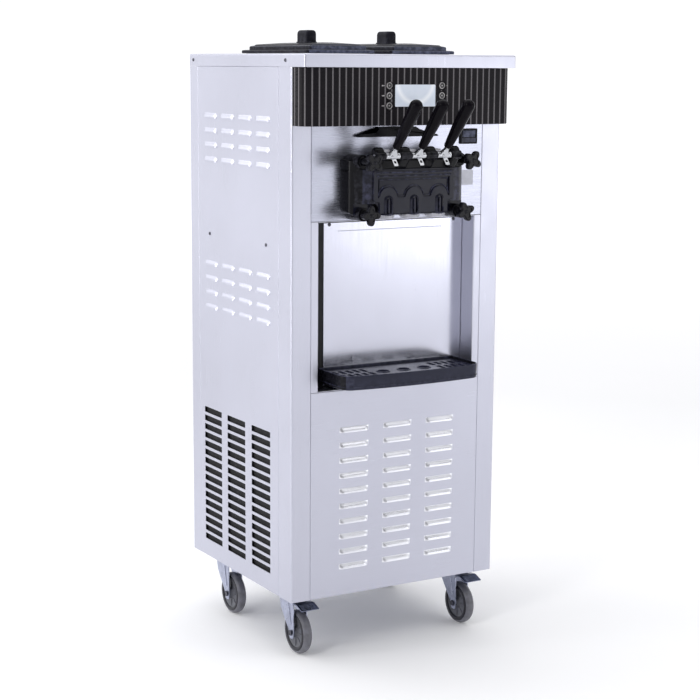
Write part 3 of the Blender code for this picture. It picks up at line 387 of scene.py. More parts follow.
class Look:
    """A material being put together: a Principled shader and the nodes that feed it."""

    def __init__(self, name, **values):
        self.material = bpy.data.materials.new(name)
        self.material.use_nodes = True
        self.tree = self.material.node_tree
        self.shader = self.tree.nodes["Principled BSDF"]
        for label, value in values.items():
            self.shader.inputs[label.replace("_", " ")].default_value = value
        self.object_place = self.node("ShaderNodeTexCoord").outputs["Object"]

    def node(self, kind, settings=None, inputs=None):
        node = self.tree.nodes.new(kind)
        for label, value in (settings or {}).items():
            setattr(node, label, value)
        for label, value in (inputs or {}).items():
            if isinstance(value, bpy.types.NodeSocket):
                self.tree.links.new(value, node.inputs[label])
            else:
                node.inputs[label].default_value = value
        return node

    def noise(self, scale, detail=3.0, stretch=(1, 1, 1), rough=0.55):
        mapping = self.node("ShaderNodeMapping", inputs={"Vector": self.object_place, "Scale": stretch})
        texture = self.node("ShaderNodeTexNoise", inputs={
            "Vector": mapping.outputs["Vector"], "Scale": scale, "Detail": detail, "Roughness": rough})
        return texture.outputs["Fac"]

    def cells(self, scale):
        """The distance from the walls between round cells."""
        texture = self.node("ShaderNodeTexVoronoi", {"feature": "DISTANCE_TO_EDGE"},
                            {"Vector": self.object_place, "Scale": scale})
        return texture.outputs["Distance"]

    def ramp(self, factor, low, high, start, end):
        """A value that goes from low to high while factor goes from start to end."""
        node = self.node("ShaderNodeMapRange", inputs={
            "Value": factor, "From Min": start, "From Max": end, "To Min": low, "To Max": high})
        return node.outputs["Result"]

    def maths(self, operation, a, b=0.0):
        return self.node("ShaderNodeMath", {"operation": operation}, {0: a, 1: b}).outputs[0]

    def mixed(self, factor, a, b):
        """A colour between two, each a triple or a socket."""
        node = self.node("ShaderNodeMix", {"data_type": "RGBA"}, {0: factor})
        for index, value in ((6, a), (7, b)):
            if isinstance(value, bpy.types.NodeSocket):
                self.tree.links.new(value, node.inputs[index])
            else:
                node.inputs[index].default_value = (*value, 1.0)
        return node.outputs[2]

    def bump(self, *layers):
        """Relief from (height socket, strength, depth in metres) layers, one on the other."""
        normal = None
        for height, strength, depth in layers:
            inputs = {"Height": height, "Strength": strength, "Distance": depth}
            if normal:
                inputs["Normal"] = normal
            normal = self.node("ShaderNodeBump", inputs=inputs).outputs["Normal"]
        self.feed("Normal", normal)

    def feed(self, label, socket):
        self.tree.links.new(socket, self.shader.inputs[label])

    def edge_wear_and_highlight(self, width=0.06):
        """Near 1 on outer edges, broken up by noise: edges rubbed pale by use, and painted highlight where they are
        made much paler.
        """
        pointed = self.node("ShaderNodeNewGeometry").outputs["Pointiness"]
        edges = self.ramp(pointed, 0.0, 1.0, 0.5 + width * 0.5, 0.5 + width)
        return self.maths("MULTIPLY", edges, self.ramp(self.noise(90.0), 0.0, 1.0, 0.4, 0.65))

    def crevice_shade(self):
        """Near 1 in inner corners, where painted shade darkens the plastic."""
        pointed = self.node("ShaderNodeNewGeometry").outputs["Pointiness"]
        return self.ramp(pointed, 1.0, 0.0, 0.42, 0.49)


def brushed(name, grain, tone=(0.550, 0.556, 0.640), roughness=0.33, relief=0.03):
    """Satin stainless sheet. The grain runs along the axis whose scale is small."""
    look = Look(name, Metallic=1.0)
    streaks = look.noise(900.0, 3.0, grain, 0.6)
    smears = look.noise(2.2, 3.0)
    light = scaled(tone, 1.07)
    clouded = look.mixed(look.ramp(smears, 0.0, 1.0, 0.35, 0.65), scaled(tone, 0.93), light)
    fine = look.mixed(look.ramp(streaks, 0.0, 1.0, 0.3, 0.7), scaled(tone, 0.96), light)
    look.feed("Base Color", look.mixed(0.45, clouded, fine))
    spread = look.ramp(streaks, roughness - 0.05, roughness + 0.06, 0.3, 0.7)
    prints = look.ramp(look.noise(9.0, 2.0), -0.02, 0.03, 0.4, 0.7)
    look.feed("Roughness", look.maths("ADD", spread, prints))
    look.bump((look.noise(2.6, 1.0), 0.06, 0.004), (streaks, relief, 0.0001))
    return look.material


def bright_steel(name, tone, roughness):
    look = Look(name, Metallic=1.0)
    swirl = look.noise(160.0, 3.0, (1, 1, 0.2))
    look.feed("Base Color", look.mixed(swirl, scaled(tone, 0.9), tone))
    look.feed("Roughness", look.ramp(swirl, roughness * 0.7, roughness * 1.6, 0.3, 0.7))
    look.bump((swirl, 0.03, 0.0001))
    return look.material


def zinc_plate(name, tone):
    """Blue passivated zinc with its soft patches."""
    look = Look(name, Metallic=1.0)
    patches = look.noise(55.0, 4.0)
    patched = look.ramp(patches, 0.0, 1.0, 0.3, 0.7)
    look.feed("Base Color", look.mixed(patched, scaled(tone, 0.82), scaled(tone, 1.12)))
    look.feed("Roughness", look.ramp(look.noise(140.0), 0.24, 0.42, 0.3, 0.7))
    look.bump((patches, 0.08, 0.0003))
    return look.material


def plastic(name, tone, roughness, edge=2.2, **values):
    """Moulded plastic: fine spark grain, slow colour drift, painted shade in inner corners, and paler edges, partly
    rubbed by use and partly painted highlight.
    """
    look = Look(name, **values)
    grains = look.noise(1500.0, 2.0)
    drift = look.ramp(look.noise(14.0, 3.0), 0.0, 1.0, 0.35, 0.65)
    body = look.mixed(drift, scaled(tone, 0.94), scaled(tone, 1.06))
    # Inner corners fall to a third of the tone: painted shade.
    body = look.mixed(look.crevice_shade(), body, scaled(tone, 0.35))
    # Outer edges are made paler by the factor edge: rubbed by use, plus a painted highlight where the factor is 4 or
    # more.
    look.feed("Base Color", look.mixed(look.edge_wear_and_highlight(), body, scaled(tone, edge, 0.01)))
    handled = look.ramp(look.noise(28.0, 4.0), -0.04, 0.06, 0.35, 0.7)
    spread = look.ramp(grains, roughness - 0.03, roughness + 0.03, 0.3, 0.7)
    look.feed("Roughness", look.maths("ADD", spread, handled))
    look.bump((grains, 0.02, 0.0002), (look.noise(20.0, 1.0), 0.03, 0.0008))
    return look.material


def rubber(name, tone, roughness):
    """Rubber, or a dull plastic, with scuffs."""
    look = Look(name)
    scuffs = look.noise(60.0, 5.0)
    scuffed = look.ramp(scuffs, 0.0, 1.0, 0.35, 0.65)
    look.feed("Base Color", look.mixed(scuffed, scaled(tone, 0.8), scaled(tone, 1.2)))
    look.feed("Roughness", look.ramp(scuffs, roughness - 0.08, roughness + 0.12, 0.3, 0.7))
    look.bump((look.noise(420.0, 3.0), 0.15, 0.0002), (scuffs, 0.08, 0.0004))
    return look.material


STRIPE_PITCH = 0.0160
STRIPE_HALF, STRIPE_BLUR = 0.0014, 0.0005
FIN_HALF_PITCH = 0.0011


def striped(name):
    """Near-black fascia film with fine grey upright stripes; U runs round the fascia in metres."""
    look = Look(name, Specular_IOR_Level=0.06)
    along = look.node("ShaderNodeSeparateXYZ", inputs={"Vector": look.node("ShaderNodeUVMap").outputs["UV"]})
    phase = look.maths("PINGPONG", look.maths("ADD", along.outputs["X"], 1.0), STRIPE_PITCH / 2)
    stripe = look.ramp(phase, 1.0, 0.0, STRIPE_HALF, STRIPE_HALF + STRIPE_BLUR)
    ground = look.mixed(look.noise(30.0, 3.0), (0.0080, 0.0070, 0.0090), (0.0130, 0.0115, 0.0140))
    ink = look.mixed(look.noise(400.0, 2.0), (0.120, 0.112, 0.120), (0.190, 0.180, 0.190))
    look.feed("Base Color", look.mixed(stripe, ground, ink))
    look.feed("Roughness", look.ramp(look.noise(200.0), 0.24, 0.34, 0.3, 0.7))
    look.bump((stripe, 0.15, 0.0002), (look.noise(1500.0, 2.0), 0.02, 0.0001))
    return look.material


def lit_screen(name, centre, half):
    """Pale screen film with the soft arc of a reflector behind it."""
    look = Look(name, Specular_IOR_Level=0.4, Emission_Strength=0.04)
    at = look.node("ShaderNodeSeparateXYZ", inputs={"Vector": look.object_place})
    across = look.maths("SUBTRACT", at.outputs["X"], centre.x)
    up = look.maths("SUBTRACT", at.outputs["Z"], centre.z + half.z * 1.25)
    reach = look.maths("SQRT", look.maths("ADD", look.maths("MULTIPLY", across, across),
                                          look.maths("MULTIPLY", up, up)))
    off = look.maths("ABSOLUTE", look.maths("SUBTRACT", reach, half.z * 1.9))
    glow = look.ramp(off, 1.0, 0.0, 0.0, half.z * 0.35)
    cloud = look.mixed(look.noise(35.0, 2.0), (0.60, 0.67, 0.78), (0.72, 0.77, 0.87))
    face = look.mixed(glow, cloud, (0.88, 0.91, 0.97))
    look.feed("Base Color", face)
    look.feed("Emission Color", face)
    look.feed("Roughness", look.ramp(look.noise(300.0), 0.12, 0.22, 0.3, 0.7))
    return look.material


def open_foam(name):
    """Black filter mat with open cells."""
    look = Look(name)
    cells = look.cells(420.0)
    wall = look.ramp(cells, 0.0, 1.0, 0.0, 0.25)
    look.feed("Base Color", look.mixed(wall, (0.012, 0.012, 0.014), (0.003, 0.003, 0.004)))
    look.feed("Roughness", look.ramp(look.noise(80.0), 0.8, 0.95, 0.3, 0.7))
    look.bump((cells, 0.5, 0.0008))
    return look.material


def enamel(name, tone):
    """Sprayed enamel with orange peel and some dust."""
    look = Look(name, Coat_Weight=0.3, Coat_Roughness=0.2)
    dust = look.ramp(look.noise(24.0, 5.0), 0.0, 1.0, 0.45, 0.75)
    look.feed("Base Color", look.mixed(dust, tone, scaled(tone, 1.8, 0.01)))
    look.feed("Roughness", look.ramp(dust, 0.35, 0.6, 0.0, 1.0))
    look.bump((look.noise(260.0, 2.0), 0.12, 0.0004))
    return look.material


def finned(name):
    """Aluminium fins seen edge on: dust on the metal, and painted shade in the gaps between the fins."""
    look = Look(name, Metallic=0.9)
    at = look.node("ShaderNodeSeparateXYZ", inputs={"Vector": look.object_place})
    fin = look.maths("PINGPONG", look.maths("ADD", at.outputs["X"], 1.0), FIN_HALF_PITCH)
    dirt = look.ramp(look.noise(40.0, 4.0), 0.0, 1.0, 0.4, 0.7)
    metal = look.mixed(dirt, (0.66, 0.67, 0.69), (0.38, 0.37, 0.35))
    # Near black between the fins: painted shade in the gaps.
    gap = look.ramp(fin, 0.0, 0.7, 0.0003, 0.0008)
    look.feed("Base Color", look.mixed(gap, metal, (0.03, 0.03, 0.03)))
    look.feed("Roughness", look.ramp(dirt, 0.3, 0.6, 0.0, 1.0))
    look.bump((fin, 0.4, 0.0008))
    return look.material


SCREEN_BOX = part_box("display_screen")
SCREEN_CENTRE = (SCREEN_BOX[0] + SCREEN_BOX[1]) / 2
LOOKS = {}


def finish(slot, name, make, *values, **more):
    """Makes a look and notes which of the record's material slots it belongs to."""
    LOOKS[name] = (make(name, *values, **more), slot)


finish("stainless", "steel_upright", brushed, (1, 1, 0.012))
finish("stainless", "steel_level", brushed, (0.012, 1, 1))
# A much paler copy of the satin steel for the front louvre hoods: painted light on them.
finish("stainless", "steel_pressed", brushed, (0.012, 1, 1), (0.90, 0.905, 0.98), 0.30)
finish("stainless", "steel_splash", brushed, (1, 1, 0.012), (0.560, 0.566, 0.650), 0.20, 0.004)
# A darker copy of the satin steel for the panel behind the head: painted shade under the fascia.
finish("stainless", "steel_mirror", brushed, (0.012, 1, 1), (0.440, 0.450, 0.530), 0.26, 0.004)
finish("white_plastic", "label", plastic, (0.60, 0.61, 0.68), 0.45, edge=1.1)
finish("stainless", "steel_inside", brushed, (1, 0.012, 1), (0.58, 0.58, 0.60), 0.36)
finish("polished_steel", "chrome", bright_steel, (0.56, 0.57, 0.60), 0.12)
finish("polished_steel", "screw_steel", bright_steel, (0.11, 0.11, 0.13), 0.22)
finish("zinc", "zinc", zinc_plate, (0.200, 0.220, 0.310))
finish("zinc", "zinc_pale", zinc_plate, (0.430, 0.455, 0.570))
# Edge factors of 4 and 5 paint highlights along the edges of the head and the knobs.
finish("black_plastic", "head_black", plastic, (0.0030, 0.0030, 0.0045), 0.13, edge=5.0,
       Specular_IOR_Level=0.11)
# A lighter, bluer copy of the head's black for its front faces: painted reflection.
finish("black_plastic", "head_slate", plastic, (0.0085, 0.0090, 0.0185), 0.17, edge=4.0,
       Specular_IOR_Level=0.20)
finish("black_plastic", "grip_black", plastic, (0.0042, 0.0035, 0.0054), 0.10, Specular_IOR_Level=0.06)
finish("black_plastic", "knob_black", plastic, (0.0055, 0.0055, 0.0085), 0.18, edge=5.0,
       Specular_IOR_Level=0.18)
finish("black_plastic", "tray_charcoal", plastic, (0.0200, 0.0215, 0.0400), 0.20, Specular_IOR_Level=0.20)
finish("black_plastic", "trim_black", plastic, (0.0050, 0.0050, 0.0080), 0.26, Specular_IOR_Level=0.12)
finish("black_plastic", "shadow_black", rubber, (0.010, 0.010, 0.012), 0.7)
finish("black_plastic", "filter", open_foam)
finish("slate_plastic", "slate", plastic, (0.060, 0.066, 0.100), 0.34, Specular_IOR_Level=0.12)
# A darker copy of the slate for the lids' sides and level tops, and for the whole handles: painted shade.
finish("slate_plastic", "slate_dark", plastic, (0.012, 0.012, 0.018), 0.36, Specular_IOR_Level=0.05)
finish("fascia", "stripes", striped)
finish("screen", "screen", lit_screen, SCREEN_CENTRE, (SCREEN_BOX[1] - SCREEN_BOX[0]) / 2)
finish("key", "key_black", plastic, (0.020, 0.019, 0.021), 0.38)
finish("key", "key_ring", plastic, (0.230, 0.220, 0.225), 0.40)
finish("white_plastic", "white_plastic", plastic, (0.58, 0.58, 0.63), 0.35, edge=1.1)
finish("white_plastic", "cap_grey", plastic, (0.42, 0.42, 0.47), 0.30, edge=1.1)
finish("tyre_rubber", "tread", rubber, (0.150, 0.150, 0.175), 0.36)
finish("tyre_rubber", "tyre_core", rubber, (0.014, 0.014, 0.022), 0.40)
finish("tyre_rubber", "wheel_disc", rubber, (0.120, 0.123, 0.145), 0.42)
finish("motor_enamel", "enamel", enamel, (0.030, 0.036, 0.044))
finish("fin_aluminium", "fins", finned)


def piece(name, bm, looks, body="cabinet", stands_for=(), sharp=50):
    """Makes a shape into a piece that rides on a body and, if it does, stands for CAD nodes."""
    mesh = mesh_of(facing_out(bm), name)
    looks = [looks] if isinstance(looks, str) else looks
    for look in looks:
        mesh.materials.append(LOOKS[look][0])
    mesh.shade_smooth()
    mesh.set_sharp_from_angle(angle=radians(sharp))
    obj = linked(name, mesh)
    weigh = obj.modifiers.new("even_normals", "WEIGHTED_NORMAL")
    weigh.keep_sharp = True
    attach(obj, body)
    if stands_for:
        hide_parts(*stands_for)
    return obj


# ---- sheet metal --------------------------------------------------------------------------
def hood(width, height, rise, place):
    """A pressed louvre: level with its sheet at the top, standing out at its open lower lip."""
    across, down, ramp = 20, 7, 0.008
    grids = []
    for depth in (0.0, SHEET):
        grid = []
        for row in range(down + 1):
            fall = sin(pi / 2 * row / down)
            line = []
            for column in range(across + 1):
                along = -width / 2 * cos(pi * column / across)
                end = sin(min(1.0, (width / 2 - abs(along)) / ramp) * pi / 2)
                line.append(place(along, rise * end * fall ** 1.3 - depth, -height * row / down))
            grid.append(line)
        grids.append(grid)
    bm = bmesh.new()
    outer, inner = [[[bm.verts.new(p) for p in line] for line in grid] for grid in grids]
    for row in range(down):
        for column in range(across):
            for grid in (outer, inner):
                bm.faces.new((grid[row][column], grid[row][column + 1],
                              grid[row + 1][column + 1], grid[row + 1][column]))
    rim = [(0, c) for c in range(across)] + [(r, across) for r in range(down)]
    rim += [(down, c) for c in range(across, 0, -1)] + [(r, 0) for r in range(down, 0, -1)]
    for (row, column), (next_row, next_column) in zip(rim, rim[1:] + rim[:1]):
        bm.faces.new((outer[row][column], outer[next_row][next_column],
                      inner[next_row][next_column], inner[row][column]))
    return bm


def plate(low, high, axis, outward):
    """A flat sheet whose outer face is rounded over at its four edges, for the seams."""
    index = "XYZ".index(axis)
    face = (high if outward > 0 else low)[index]

    def on_face(edge):
        return all(abs(v.co[index] - face) < 1e-6 for v in edge.verts)

    return softened(block(low, high), SEAM, 4, 40, on_face)


def side_place(sign, middle, top):
    """How a place on a side panel's louvre, from the middle of its top edge, makes a point."""
    return lambda along, out, up: Vector((sign * (HALF + out), middle + along, top + up))


def front_place(middle, top):
    """The same for a louvre on the front."""
    return lambda along, out, up: Vector((middle + along, FRONT - out, top + up))


def window(place, width, height):
    """The cutter for the hole that a hood covers."""
    reach = CUT
    corners = [place(along, out, up)
               for along in (-width / 2, width / 2) for out in (-reach, reach) for up in (0.0, -height)]
    low = [min(c[i] for c in corners) for i in range(3)]
    high = [max(c[i] for c in corners) for i in range(3)]
    return block(low, high)


def side_panels():
    for side, sign in SIDES:
        node = f"{side}_panel"
        low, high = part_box(node)
        faces = between(sign, HALF, HALF - SHEET)
        sheet = plate((faces[0], low.y, low.z), (faces[1], high.y, high.z), "X", sign)
        spots = [side_place(sign, FRONT + y, top) for y in SIDE_HOOD_COLUMNS for top in SIDE_HOOD_ROWS]
        vents = []
        for y in VENT_COLUMNS:
            for row in range(VENT_ROWS):
                centre = (FRONT + y, VENT_TOP - VENT_HEIGHT / 2 - VENT_PITCH * row)
                slot = rounded(VENT_WIDTH / 2, VENT_HEIGHT / 2, VENT_CORNER, centre, 3)
                vents.append(prism(slot, faces[0] - CUT, faces[1] + CUT, "X"))
        windows = [window(spot, SIDE_HOOD_WIDTH, HOOD_HEIGHT) for spot in spots]
        sheet = carved(sheet, vents + windows)
        hoods = [hood(SIDE_HOOD_WIDTH, HOOD_HEIGHT, HOOD_RISE, spot) for spot in spots]
        piece(f"side_sheet_{side}", joined([sheet, *hoods]), "steel_upright", stands_for=[node],
              sharp=SHEET_SHARP)


def lower_front():
    low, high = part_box("lower_front_panel")
    sheet = plate((low.x, FRONT, low.z), (high.x, FRONT + SHEET, high.z), "Y", -1)
    spots = [front_place(x, FRONT_HOOD_TOP - row * FRONT_HOOD_PITCH)
             for x in FRONT_HOOD_COLUMNS for row in range(FRONT_HOOD_ROWS)]
    sheet = carved(sheet, [window(spot, FRONT_HOOD_WIDTH, HOOD_HEIGHT) for spot in spots])
    # The hoods take the paler copy of the steel: painted light.
    hoods = [painted(hood(FRONT_HOOD_WIDTH, HOOD_HEIGHT, HOOD_RISE, spot), 1) for spot in spots]
    piece("lower_front_sheet", joined([sheet, *hoods]), ["steel_level", "steel_pressed"],
          stands_for=["lower_front_panel"], sharp=SHEET_SHARP)


def front_corner_posts():
    for side, sign in SIDES:
        path = [(EDGE, FRONT), (HALF, FRONT), (HALF, FRONT + POST_DEPTH)]
        outline = sheet_outline(filleted(path, FOLD, steps=10))
        post = prism([(sign * x, y) for x, y in outline], BOTTOM, SKIN_TOP)
        piece(f"corner_post_{side}", post, "steel_upright", stands_for=[f"front_post_{side}"],
              sharp=SHEET_SHARP)


def rear_cover():
    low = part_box("rear_shell")[0]
    path = [(HALF, low.y), (HALF, REAR), (-HALF, REAR), (-HALF, low.y)]
    shell = prism(sheet_outline(filleted(path, FOLD, steps=8)), BOTTOM, SKIN_TOP)
    cutters = []
    for x in REAR_COLUMNS:
        for base in REAR_FIELDS:
            for row in range(REAR_ROWS):
                slot = rounded(REAR_WIDTH / 2, REAR_HEIGHT / 2, REAR_HEIGHT / 2 - 1e-4,
                               (x, base + REAR_PITCH * row), 6)
                cutters.append(prism(slot, REAR - 0.006, REAR + 0.006, "Y"))
    hole_z = middle_of("cable_gland").z
    cutters.append(rod((0, REAR - 0.01, hole_z), (0, REAR + 0.01, hole_z), GLAND_HOLE))
    piece("rear_cover_sheet", carved(shell, cutters), "steel_upright", stands_for=["rear_shell"],
          sharp=SHEET_SHARP)


def upper_front():
    low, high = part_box("upper_front_panel")
    sheet = plate((low.x, FRONT, low.z), (high.x, FRONT + SHEET, high.z), "Y", -1)
    barrel_low, barrel_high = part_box("freezing_cylinder_left")
    middle = middle_of("freezing_cylinder_left")
    radius = (barrel_high.x - barrel_low.x) / 2 + 0.001
    holes = []
    for _, sign in SIDES:
        x = sign * abs(middle.x)
        holes.append(rod((x, FRONT - 0.01, middle.z), (x, FRONT + 0.01, middle.z), radius, steps=64))
    studs = [rod((spot.x, FRONT + SHEET / 2, spot.z), (spot.x, spot.y - STUD_REACH, spot.z), STUD_RADIUS)
             for spot in knob_spots().values()]
    # The panel takes the darker copy of the steel: painted shade.
    piece("upper_front_sheet", joined([carved(sheet, holes), *studs]), "steel_mirror",
          stands_for=["upper_front_panel"], sharp=SHEET_SHARP)


def knob_spots():
    """The middle of the back of each hand knob."""
    spots = {}
    for name in KNOB_TURNS:
        middle = middle_of(f"hand_knob_{name}")
        spots[name] = Vector((middle.x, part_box(f"hand_knob_{name}")[1].y, middle.z))
    return spots


def serving_bay():
    """The folded liner, the splash sheet screwed over its back, and a black strip beside the sheet that paints the
    shadow there.
    """
    low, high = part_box("splash_panel")
    back = FRONT + BAY_DEPTH
    path = [(-EDGE + CLEAR, FRONT), (-BAY_HALF, FRONT), (-BAY_HALF, back), (BAY_HALF, back),
            (BAY_HALF, FRONT), (EDGE - CLEAR, FRONT)]
    liner = prism(sheet_outline(filleted(path, 0.0025), LINER), low.z, high.z)
    shelf = block((-BAY_HALF, FRONT + 0.0002, low.z), (BAY_HALF, back, low.z + LINER))
    roof = block((-BAY_HALF, FRONT + 0.0002, high.z - LINER), (BAY_HALF, back, high.z))
    piece("serving_bay_liner", joined([liner, shelf, roof]), "steel_upright", stands_for=["splash_panel"],
          sharp=SHEET_SHARP)
    sheet = soft_block((SPLASH_LEFT, back - 0.0030, low.z + 0.0016),
                       (BAY_HALF - 0.0006, back - 0.0004, high.z - 0.0020), 0.0008, 2)
    piece("splash_sheet", sheet, "steel_splash")
    fold_z = high.z - SPLASH_FOLD
    bead = tube([(-0.128, back - 0.0028, fold_z), (0.146, back - 0.0028, fold_z)], 0.0009, 8)
    piece("splash_fold", bead, "steel_upright")
    # A black strip on the bay's back wall, left of the sheet: painted shadow.
    shadow_strip = soft_block((-BAY_HALF + 0.0004, back - 0.0010, low.z + 0.0014),
                       (SPLASH_LEFT - 0.0002, back - 0.0001, high.z - 0.0014), 0.0002)
    piece("splash_painted_shadow", shadow_strip, "shadow_black")


def seam_strips():
    """Dark sealing strips behind the seams."""
    near = SHEET + 0.0004
    far = near + 0.0025
    low, high = BOTTOM + 0.002, SKIN_TOP - 0.002
    strips = []
    for _, sign in SIDES:
        x = between(sign, HALF - near, HALF - far)
        for y in (FRONT + POST_DEPTH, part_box("rear_shell")[0].y):
            strips.append(((x[0], y - 0.006, low), (x[1], y + 0.006, high)))
        edge = between(sign, EDGE - 0.006, EDGE + 0.006)
        strips.append(((edge[0], FRONT + near, low), (edge[1], FRONT + far, high)))
    for z in (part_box("lower_front_panel")[1].z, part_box("upper_front_panel")[0].z):
        strips.append(((-EDGE, FRONT + near, z - 0.004), (EDGE, FRONT + far, z + 0.004)))
    piece("seam_strips", joined([soft_block(*strip, 0.0004) for strip in strips]), "shadow_black")


def filter_mats():
    """Foam mats behind the vents and the louvres."""
    near, far = 0.006, 0.012
    vent_low = VENT_TOP - VENT_PITCH * VENT_ROWS - 0.006
    hoods = (SIDE_HOOD_COLUMNS[0] - 0.04, SIDE_HOOD_COLUMNS[-1] + 0.04)
    spans = [(VENT_COLUMNS[0] - 0.06, VENT_COLUMNS[-1] + 0.06, vent_low, VENT_TOP + 0.010),
             (*hoods, 0.745, 0.880), (*hoods, 1.090, 1.222)]
    mats = []
    for _, sign in SIDES:
        x = between(sign, HALF - near, HALF - far)
        for start, end, base, top in spans:
            mats.append(((x[0], FRONT + start, base), (x[1], FRONT + end, top)))
    for base in REAR_FIELDS:
        mats.append(((-0.215, REAR - far, base - 0.018), (0.215, REAR - near, base + 0.148)))
    mats.append(((-0.160, FRONT + near, 0.190), (0.166, FRONT + far, 0.540)))
    piece("filter_mats", joined([soft_block(*mat, 0.001) for mat in mats]), "filter")


def top_cover():
    """The deck: a turned-down tray with soft edges and a hole for each hopper."""
    radius, wall = 0.0035, 0.0018
    shell = softened(block(DECK_LOW, DECK_HIGH), radius, 5, 40,
                     lambda edge: any(v.co.z > DECK_LOW.z + 1e-4 for v in edge.verts))
    inside = block((DECK_LOW.x + wall, DECK_LOW.y + wall, 1.0),
                   (DECK_HIGH.x - wall, DECK_HIGH.y - wall, DECK_HIGH.z - wall))
    holes = []
    for side, _ in SIDES:
        low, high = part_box(f"hopper_{side}")
        half_x, half_y = (high.x - low.x) / 2 - HOPPER_LAP, (high.y - low.y) / 2 - HOPPER_LAP
        holes.append(prism(rounded(half_x, half_y, 0.020, middle_of(f"hopper_{side}")), 1.30, 1.40))
    deck = carved(carved(shell, [inside]), holes)
    piece("deck_cover", deck, "steel_upright", stands_for=["top_deck"], sharp=SHEET_SHARP)


def screw_shape():
    """A pan head with a cross recess, its axis up and its seat at z 0."""
    radius, height = 0.0040, 0.0020
    dome = [(radius * cos(pi / 2 * s / 6), height * (0.3 + 0.7 * sin(pi / 2 * s / 6))) for s in range(6)]
    head = lathe([(0, -0.0004), (radius, -0.0004), *dome, (0, height)], (0, 0, 0), UP, 24)
    arm, width, base = 0.0022, 0.00045, height * 0.45
    cross = [(arm, -width), (arm, width), (width, width), (width, arm), (-width, arm), (-width, width),
             (-arm, width), (-arm, -width), (-width, -width), (-width, -arm), (width, -arm), (width, -width)]
    return carved(head, [prism(cross, base, height * 2)])


def screw_spots():
    """Each cover screw's place and the way it faces: the sides, the rear and the bay."""
    spots = []
    for _, sign in SIDES:
        side = Vector((sign, 0, 0))
        for z, places in ((1.334, (0.028, 0.488)), (0.931, (0.119, 0.405))):
            spots += [(Vector((sign * HALF, FRONT + y, z)), side) for y in places]
        rear_x = sign * (HALF - 0.020)
        spots += [(Vector((rear_x, REAR, z)), Vector(BACK)) for z in (0.170, 0.520, 0.900, 1.290)]
    bay_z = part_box("splash_panel")[1].z - 0.0115
    spots += [(Vector((x, FRONT + BAY_DEPTH - 0.0030, bay_z)), -Vector(BACK)) for x in (-0.150, 0.178)]
    return spots


def screws():
    """The screws that hold the covers, each turned a bit further than the one before."""
    mesh = mesh_of(screw_shape(), "screw")
    shapes = []
    for number, (spot, outward) in enumerate(screw_spots()):
        head = bmesh.new()
        head.from_mesh(mesh)
        turn = outward.to_track_quat("Z", "Y").to_matrix().to_4x4() @ Matrix.Rotation(number * 0.9, 4, "Z")
        shapes.append(moved(head, Matrix.Translation(spot) @ turn))
    bpy.data.meshes.remove(mesh)
    piece("cover_screws", joined(shapes), "screw_steel")


# ---- control fascia -----------------------------------------------------------------------
FASCIA_CORNER = 0.034
FASCIA_BOW = 0.004
FASCIA_REACH = HOUSING_HIGH.x - FASCIA_CORNER


def fascia_plan():
    """Plan of the fascia from its right return, round the bowed front, to its left return."""
    face = HOUSING_LOW.y
    centre = (FASCIA_REACH, face + FASCIA_BOW + FASCIA_CORNER)
    right = [(HOUSING_HIGH.x, HOUSING_HIGH.y), *arc(centre, FASCIA_CORNER, 0, -90, 14)]
    front = []
    for step in range(1, 40):
        x = FASCIA_REACH * (1 - 2 * step / 40)
        front.append((x, face + FASCIA_BOW * (x / FASCIA_REACH) ** 2))
    return right + front + [(-x, y) for x, y in reversed(right)]


def along_fascia(x, y):
    """Distance round the fascia from its middle, in metres."""
    if abs(x) <= FASCIA_REACH:
        return x
    sign = 1 if x > 0 else -1
    centre_y = HOUSING_LOW.y + FASCIA_BOW + FASCIA_CORNER
    if y > centre_y:
        return sign * (FASCIA_REACH + FASCIA_CORNER * pi / 2 + y - centre_y)
    angle = pi / 2 - atan2(centre_y - y, abs(x) - FASCIA_REACH)
    return sign * (FASCIA_REACH + FASCIA_CORNER * angle)


def key_spots():
    """The middle of each key's face, by the key's node name."""
    spots = {}
    for name in sorted(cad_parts):
        if name.startswith("key_"):
            low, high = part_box(name)
            spots[name] = Vector(((low.x + high.x) / 2, low.y, (low.z + high.z) / 2))
    return spots


def fascia():
    low, high = SCREEN_BOX
    body = prism(fascia_plan(), HOUSING_LOW.z, HOUSING_HIGH.z, ease=0.0012)
    margin = 0.0003
    pocket = rounded((high.x - low.x) / 2 + margin, (high.z - low.z) / 2 + margin, 0.003,
                     (SCREEN_CENTRE.x, SCREEN_CENTRE.z))
    cutters = [prism(pocket, HOUSING_LOW.y - 0.01, high.y + 0.0003, "Y")]
    for spot in key_spots().values():
        cutters.append(rod((spot.x, HOUSING_LOW.y - 0.01, spot.z), (spot.x, HOUSING_LOW.y + 0.008, spot.z),
                           0.0098))
    obj = piece("fascia_cover", carved(body, cutters), "stripes", stands_for=["control_housing"], sharp=35)
    layer = obj.data.uv_layers.new(name="along")
    for loop in obj.data.loops:
        x, y, z = obj.data.vertices[loop.vertex_index].co
        layer.data[loop.index].uv = (along_fascia(x, y), z)
    glass = prism(rounded((high.x - low.x) / 2 - margin, (high.z - low.z) / 2 - margin, 0.0025,
                          (SCREEN_CENTRE.x, SCREEN_CENTRE.z)), low.y, high.y, "Y", 0.0003, 2)
    piece("screen_film", glass, "screen", stands_for=["display_screen"])


